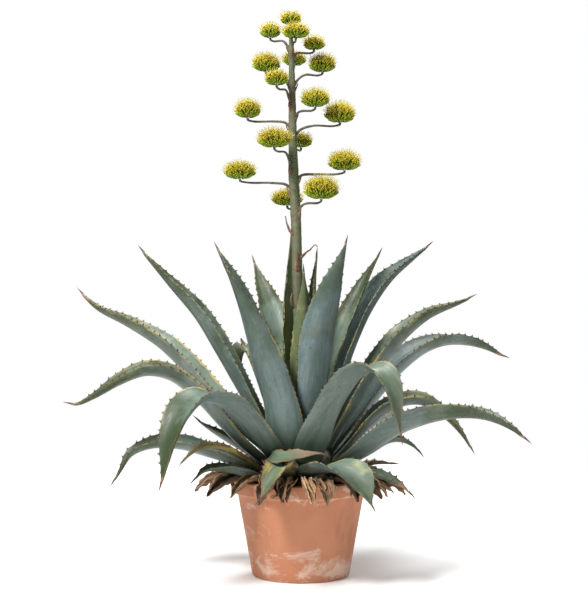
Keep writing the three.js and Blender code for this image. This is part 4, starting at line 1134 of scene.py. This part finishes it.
def stem():
    shape = Shape()
    heights = np.linspace(STALK[0][0], STALK[-1][0], STALK_ROWS)
    centres = np.array([stalk_centre(height) for height in heights])
    radii = read_line(STALK, heights, 2)
    for head in HEADS[1:]:
        radii = radii + 0.9 * np.exp(-(((heights - head[2] + head[3]) / 11) ** 2))
    for height in SCARS:
        radii = radii + 0.7 * np.exp(-(((heights - height) / 3.5) ** 2))
    shape.add(*closed_skin(rod(centres, radii, STALK_SIDES, 77, 0.3)), 0)
    for number, head in enumerate(HEADS[1:]):
        branch(shape, head, 600 + number)
        root = head[2] - head[3]
        radius = float(read_line(STALK, root, 2))
        knots = [(radius - 1.5, root - 22), (radius + 3, root - 10), (radius + 7.5, root + 2),
                 (radius + 9, root + 9)]
        bract(shape, head[0], 15, knots, root, 640 + number, 0.9)
    for number, (azimuth, width, knots) in enumerate(BRACTS):
        bract(shape, azimuth, width, knots, knots[0][1], 680 + number)
    levels = np.linspace(CAUDEX[0][0], CAUDEX[-1][0], CAUDEX_ROWS)
    rings = turned([(float(read_line(CAUDEX, z)) * STEM_SINK, z) for z in levels], CAUDEX_SIDES)
    lumps = wobble(rings.reshape(-1, 3), 22, 91).reshape(CAUDEX_ROWS, CAUDEX_SIDES)
    inward = 1 - 0.012 * (lumps + 1.2)[:, :, None] * np.array([1, 1, 0])
    shape.add(*closed_skin(rings * inward), 2)
    shape.piece("stem_fine", [STALK_LOOK, BRACT_LOOK, ROOT_LOOK, BRANCH_LOOK], "stem")


# Flower heads

HEAD_MIDDLE = 0.36
LOWEST_FLORET = -58
FLORET_ROOM = 92
OPEN_FROM = 0.42
SPENT_SHARE = 0.02
BUD = [
    (0.42, 0.8, 0), (0.56, 2.1, 0.1), (0.67, 2.7, 0.25), (0.76, 1.8, 0.4), (0.9, 1.9, 0.9),
    (1.0, 0, 1.0),
]
OVARY = [(0.42, 0.8, 0), (0.54, 2.0, 0.1), (0.63, 2.6, 0.3), (0.7, 1.7, 0.5), (0.76, 0, 0.6)]
CORE_TILTS = [-84, -60, -30, 0, 30, 60, 84]
CORE_SIDES = 16
STAMEN_RADII = [0.36, 0.3, 0.7]
SLANT = [0.31, 0.52, 0.79]


def prongs(shape, kind, spots, side, wide, thick, shares, tints, sides=3):
    """Closed pointed strips, one for each row of spots; wide and thick are their half sizes at
    all spots but the last, which is the point."""
    count, steps = spots.shape[:2]
    along = unit(np.gradient(spots, axis=1))
    up = np.cross(along, side[:, None])
    turns = np.arange(sides) * 2 * math.pi / sides
    flat = np.outer(wide, np.cos(turns))[None, :, :, None] * side[:, None, None]
    high = np.outer(thick, np.sin(turns))[None, :, :, None] * up[:, :-1, None]
    rings = (spots[:, :-1, None] + flat + high).reshape(count, -1, 3)
    points = np.concatenate([rings, spots[:, -1:]], axis=1)
    size = points.shape[1]
    wall = skin(np.zeros((steps - 1, sides, 3)))
    last = (steps - 2) * sides + np.arange(sides)
    fan = np.stack([last, (steps - 2) * sides + (np.arange(sides) + 1) % sides,
                    np.full(sides, size - 1)], axis=1)
    foot = np.arange(sides)[::-1][None]
    starts = (np.arange(count) * size)[:, None, None]
    faces = [(group[None] + starts).reshape(-1, group.shape[1]) for group in (wall, fan, foot)]
    marks = np.zeros((count, size, 3))
    marks[:, :, 0] = np.r_[np.repeat(shares[:-1], sides), shares[-1]]
    marks[:, :, 1] = np.asarray(tints)[:, None]
    shape.add(points.reshape(-1, 3), faces, kind, marks=marks.reshape(-1, 3))


def floret(shape, seat, tip_at, upright, stream, spent):
    """One flower: a green ovary on a thin foot that ends in a bud or, if it faces up, in six
    narrow tepals and three stamens."""
    tint = stream.uniform(0, 1)
    reach = np.linalg.norm(tip_at - seat)
    out = unit(tip_at - seat)
    low = seat + out * reach * 0.4 - np.array([0, 0, 0.05 * reach])
    line = Line([seat + out * 2, low, mix(low, tip_at, 0.5), tip_at])
    side = unit(np.cross(out, SLANT))
    size = stream.uniform(0.85, 1.15)
    closed = upright <= OPEN_FROM
    shares, radii, ripe = np.array(BUD if closed else OVARY).T
    spots = line.at(shares)
    radii = radii[:-1] * size
    if closed:
        ripe = ripe * stream.uniform(0.5, 1)
    prongs(shape, 3 if closed and spent else 0, spots[None], side[None], radii, radii, ripe,
           [tint], 5)
    if closed:
        return

    throat = spots[3]
    axis = unit(line.along(0.7)[0] + np.array([0, 0, 0.35 * (1 - upright)]))
    side = unit(np.cross(axis, SLANT))
    other = np.cross(axis, side)
    room = 0.32 * reach

    def around(turns):
        return np.outer(np.cos(turns), side) + np.outer(np.sin(turns), other)

    turns = stream.uniform(0, 2 * math.pi) + np.arange(6) * math.pi / 3
    away = around(turns)
    height = room * stream.uniform(0.5, 0.8, 6)[:, None]
    spread = height * stream.uniform(0.2, 0.5, 6)[:, None]
    tepals = np.stack([throat + away * 0.9, throat + away * 2.1 + axis * height * 0.55,
                       throat + away * spread + axis * height], axis=1)
    prongs(shape, 3 if spent else 1, tepals, np.cross(axis, away), [1.2, 1.35], [0.35, 0.3],
           [0, 0.5, 1], stream.uniform(0, 1, 6))
    if spent:
        return
    away = around(turns[::2] + math.pi / 6)
    height = room * stream.uniform(0.8, 1.25, 3)[:, None]
    spread = height * stream.uniform(0.08, 0.5, 3)[:, None]
    tips = throat + axis * height + away * spread
    lie = unit(away + axis * stream.uniform(0.2, 1.5, 3)[:, None])
    stamens = np.stack([throat + away * 0.5, tips, tips + lie * 1.2, tips + lie * 2.6], axis=1)
    prongs(shape, 2, stamens, np.cross(axis, away), STAMEN_RADII, STAMEN_RADII, [0, 0.3, 1, 1],
           stream.uniform(0, 1, 3))


def flower_head(number, head):
    name = f"flower_head_{number + 1:02d}"
    stream = np.random.default_rng(700 + number)
    width, height = head[4:6]
    seat = head_seat(head) + np.array([0, 0, 0.3])
    wide = width / 2
    middle = height * HEAD_MIDDLE

    def on_head(elevation, turn, scale):
        rise = np.where(elevation > 0, height - middle, middle)
        out = wide * scale * np.cos(elevation)
        high = middle + rise * scale * np.sin(elevation)
        return np.stack([out * np.cos(turn), out * np.sin(turn), high], axis=-1) + seat

    shape = Shape()
    around = np.arange(CORE_SIDES) * 2 * math.pi / CORE_SIDES
    tilts, turns = np.meshgrid(np.radians(CORE_TILTS), around, indexing="ij")
    core = on_head(tilts, turns, 0.55)
    lumps = wobble(core.reshape(-1, 3), 9, 720 + number).reshape(*core.shape[:2], 1)
    core = core + (core - core.mean((0, 1))) * lumps * 0.07
    shape.add(*closed_skin(core))

    area = math.pi * wide * (wide + 1.4 * height)
    count = int(area / FLORET_ROOM)
    golden = math.pi * (3 - math.sqrt(5))
    lowest = math.sin(math.radians(LOWEST_FLORET))
    for k in range(count):
        elevation = math.asin(mix(lowest, 1, (k + 0.5) / count))
        turn = k * golden + stream.uniform(-0.14, 0.14)
        upright = float(smooth(elevation, -0.6, 0.9))
        reach = stream.uniform(0.93, 1.08) * mix(0.92, 1, upright)
        tip = on_head(np.array(elevation), np.array(turn), reach)
        floret(shape, seat, tip, upright, stream, stream.uniform() < SPENT_SHARE)
    looks = [OVARY_LOOK, TEPAL_LOOK, STAMEN_LOOK, SPENT_LOOK]
    shape.piece(name + "_fine", looks, name)


# Pot and soil

POT_SIDES = 128
POT_ROW = 14
PLATE_RADIUS = POT_FOOT_RADIUS - 60.0
PLATE_SECTORS = 96
PLATE_STEPS = 9
HOLE_SIDES = 24
HOLE_REACH = 22
SOIL_SIDES = 150
SOIL_RINGS = 34
SOIL_GAP = 0.3
SOIL_MIDDLE = 2
CRUMB_COUNT = 620
PEBBLE_SIZE = 2.4


def drain_centres():
    return turned([(DRAIN_CIRCLE, 0)], DRAIN_COUNT)[0]


def inner_radius(height):
    share = height / POT_HEIGHT
    return mix(POT_FOOT_RADIUS, POT_NECK_RADIUS + 4, share) - POT_WALL


def bevelled(corners, size, steps=4):
    """The profile with each corner rounded off."""
    corners = np.asarray(corners, float)
    spots = [corners[0]]
    for before, here, after in zip(corners, corners[1:], corners[2:]):
        back, ahead = before - here, after - here
        cut = min(size, np.linalg.norm(back) * 0.45, np.linalg.norm(ahead) * 0.45)
        first = here + back / np.linalg.norm(back) * cut
        last = here + ahead / np.linalg.norm(ahead) * cut
        for s in np.linspace(0, 1, steps):
            spots.append(mix(mix(first, here, s), mix(here, last, s), s))
    spots.append(corners[-1])
    return spots


def pot():
    rim_bottom = POT_HEIGHT - RIM_DEPTH
    top_inner = float(inner_radius(POT_HEIGHT))
    profile = bevelled(
        [
            (PLATE_RADIUS, 0), (POT_FOOT_RADIUS, 0), (POT_NECK_RADIUS, rim_bottom),
            (RIM_RADIUS, rim_bottom + 3), (RIM_RADIUS, POT_HEIGHT), (top_inner, POT_HEIGHT),
            (float(inner_radius(POT_WALL)), POT_WALL), (PLATE_RADIUS, POT_WALL),
        ],
        RIM_ROUNDING,
    )
    fine = [profile[0]]
    for spot in profile[1:]:
        pieces = max(1, int(np.linalg.norm(np.asarray(spot) - fine[-1]) / POT_ROW))
        start = np.asarray(fine[-1], float)
        fine.extend(mix(start, np.asarray(spot), (i + 1) / pieces) for i in range(pieces))
    rings = turned(fine, POT_SIDES)
    swell = wobble(rings.reshape(-1, 3), 260, 31).reshape(len(fine), POT_SIDES, 1)
    still = np.array([0.0016, 0.0016, 0])
    rings = rings * (1 + (swell - 1) * still)
    points = rings.reshape(-1, 3)
    wall = skin(rings)
    shape = Shape()
    shape.add(points, facing_wall(points, wall))
    for low, height in ((True, 0.0), (False, float(POT_WALL))):
        floor_plate(shape, height, low)
    for centre in drain_centres():
        lining = turned([(DRAIN_RADIUS, 0), (DRAIN_RADIUS, POT_WALL)], HOLE_SIDES) + centre
        shape.add(lining.reshape(-1, 3), skin(lining)[:, ::-1])
    shape.piece("pot_fine", [TERRACOTTA], "pot")


def facing_wall(points, faces):
    """The wall's quads, turned so that the outermost one looks outwards."""
    a, b, c = (points[faces[:, k]] for k in range(3))
    normals = np.cross(b - a, c - a)
    middle = (a + c) / 2
    outermost = np.argmax(np.hypot(middle[:, 0], middle[:, 1]))
    outward = normals[outermost, :2] @ middle[outermost, :2]
    return faces if outward > 0 else faces[:, ::-1]


def floor_plate(shape, height, low):
    """The pot's flat bottom as an even sheet round its three drain holes."""
    sectors, steps = PLATE_SECTORS, PLATE_STEPS
    holes = drain_centres() + [0, 0, height]
    points, faces = [], []
    for sector in range(sectors):
        turn = 2 * math.pi * sector / sectors
        for step in range(steps):
            radius = PLATE_RADIUS * step / (steps - 1)
            spot = on_circle(radius, turn, height)
            for hole in holes:
                away = spot - hole
                gap = np.linalg.norm(away)
                if gap < HOLE_REACH:
                    spot = hole + away / gap * mix(DRAIN_RADIUS, HOLE_REACH, gap / HOLE_REACH)
            points.append(spot)
    for sector in range(sectors):
        after = (sector + 1) % sectors
        for step in range(steps - 1):
            quad = [sector * steps + step, sector * steps + step + 1,
                    after * steps + step + 1, after * steps + step]
            middle = np.mean([points[i] for i in quad], axis=0)
            if min(np.linalg.norm(middle - hole) for hole in holes) < DRAIN_RADIUS * 0.9:
                continue
            faces.append(quad[::-1] if low else quad)
    shape.add(points, np.array(faces))


def soil_lumps(places):
    """How far the soil's top lies above or below its level."""
    return 1.6 * wobble(places, 46, 5) + 0.9 * wobble(places, 15, 6)


def soil():
    shape = Shape()
    inner = float(read_line(CAUDEX, SOIL_TOP)) + 0.5
    outer = float(inner_radius(SOIL_TOP)) - 1.6
    radii = np.linspace(inner, outer, SOIL_RINGS)
    top = turned([(radius, SOIL_TOP) for radius in radii], SOIL_SIDES)
    flat = top.reshape(-1, 3)
    away = np.hypot(flat[:, 0], flat[:, 1])
    rise = soil_lumps(flat[:, :2]) * smooth(away, inner, inner + 12)
    flat[:, 2] += rise * (1 - smooth(away, outer - 8, outer))
    low_inner = float(read_line(CAUDEX, SOIL_TOP - ROOT_DEPTH)) + 0.5
    low_outer = float(inner_radius(POT_WALL)) - 1.6
    low, pit = POT_WALL + SOIL_GAP, SOIL_TOP - ROOT_DEPTH - SOIL_GAP
    under = turned([(low_outer, low), (SOIL_MIDDLE, low)], SOIL_SIDES)
    floor = turned([(SOIL_MIDDLE, pit), (low_inner, pit)], SOIL_SIDES)
    shape.add(*closed_skin(np.concatenate([floor, top, under])))

    stream = np.random.default_rng(12)
    crumb = crumb_rings()
    for _ in range(CRUMB_COUNT):
        radius = math.sqrt(stream.uniform((inner + 16) ** 2, (outer - 5) ** 2))
        turn = stream.uniform(0, 2 * math.pi)
        size = stream.uniform(0.9, 2.6) if stream.uniform() < 0.85 else stream.uniform(2.4, 4.2)
        spot = on_circle(radius, turn, SOIL_TOP)
        spot[2] += soil_lumps(spot[None, :2])[0]
        stretch = stream.uniform(0.65, 1.25, 3) * size
        rough = 1 + 0.16 * stream.normal(size=crumb.shape[:2])[:, :, None]
        rings = crumb * rough * stretch + spot + np.array([0, 0, size * 0.25])
        kind = 1 if size > PEBBLE_SIZE and stream.uniform() < 0.6 else 0
        shape.add(*closed_skin(rings), kind)
    shape.piece("soil_fine", [SOIL, PEBBLE], "soil")


def crumb_rings():
    """A small round body of five rings of six points."""
    tilts = np.radians([-78, -38, 0, 38, 78])
    turns = np.arange(6) * math.pi / 3
    return np.array([[(math.cos(t) * math.cos(a), math.cos(t) * math.sin(a), math.sin(t))
                      for a in turns] for t in tilts])


# Everything in its place

pot()
soil()
stem()
for number, spec in enumerate(LEAVES):
    living_leaf(spec, 100 + number)
dry_leaves()
for number, head in enumerate(HEADS):
    flower_head(number, head)


def stage():
    """A plain pale floor."""
    rim = turned([(FLOOR_RADIUS, -FLOOR_DROP)], FLOOR_SIDES)[0].tolist()
    mesh = bpy.data.meshes.new("studio_floor")
    mesh.from_pydata(rim, [], [list(range(FLOOR_SIDES))])
    mesh.materials.append(floor_look())
    made = bpy.data.objects.new("studio_floor", mesh)
    bpy.context.scene.collection.objects.link(made)


def sky():
    """Even white surroundings that light the plant only softly."""
    world = bpy.data.worlds.new("studio")
    world.use_nodes = True
    tree = world.node_tree
    background = tree.nodes["Background"]
    background.inputs["Color"].default_value = (1, 1, 1, 1)
    seen = tree.nodes.new("ShaderNodeLightPath")
    strength = tree.nodes.new("ShaderNodeMapRange")
    strength.inputs["To Min"].default_value = SKY_LIGHT
    strength.inputs["To Max"].default_value = SKY_SEEN
    tree.links.new(seen.outputs["Is Camera Ray"], strength.inputs["Value"])
    tree.links.new(strength.outputs[0], background.inputs["Strength"])
    bpy.context.scene.world = world


def soft_light(name, place, aim, size, power):
    lamp = bpy.data.lights.new(name, "AREA")
    lamp.shape = "DISK"
    lamp.size = size
    lamp.energy = power
    made = bpy.data.objects.new(name, lamp)
    made.location = place
    made.rotation_euler = (Vector(aim) - Vector(place)).to_track_quat("-Z", "Y").to_euler()
    bpy.context.scene.collection.objects.link(made)


stage()
soft_light("key", (-2.6, -2.6, 4.4), (0, 0, 0.8), 1.5, 380)
soft_light("fill", (3.6, -3.2, 1.8), (0, 0, 0.7), 3.0, 42)
soft_light("top", (0.4, 0.8, 4.8), (0, 0, 0.6), 2.2, 220)
soft_light("back", (1.6, 4.2, 2.6), (0, 0, 0.7), 2.4, 90)

sky()

lens = bpy.data.cameras.new("camera")
lens.sensor_width = SENSOR
lens.sensor_fit = "AUTO"
lens.lens = SENSOR / 2 / HALF_VIEW
lens.clip_end = CLIP_END
camera = bpy.data.objects.new("camera", lens)
camera.location = (CAMERA_X, -CAMERA_DISTANCE, CAMERA_Z)
camera.rotation_euler = (math.pi / 2 + PITCH, 0, 0)
bpy.context.scene.collection.objects.link(camera)
bpy.context.scene.camera = camera

view_settings = bpy.context.scene.view_settings
view_settings.view_transform = "Standard"

bpy.context.view_layer.update()
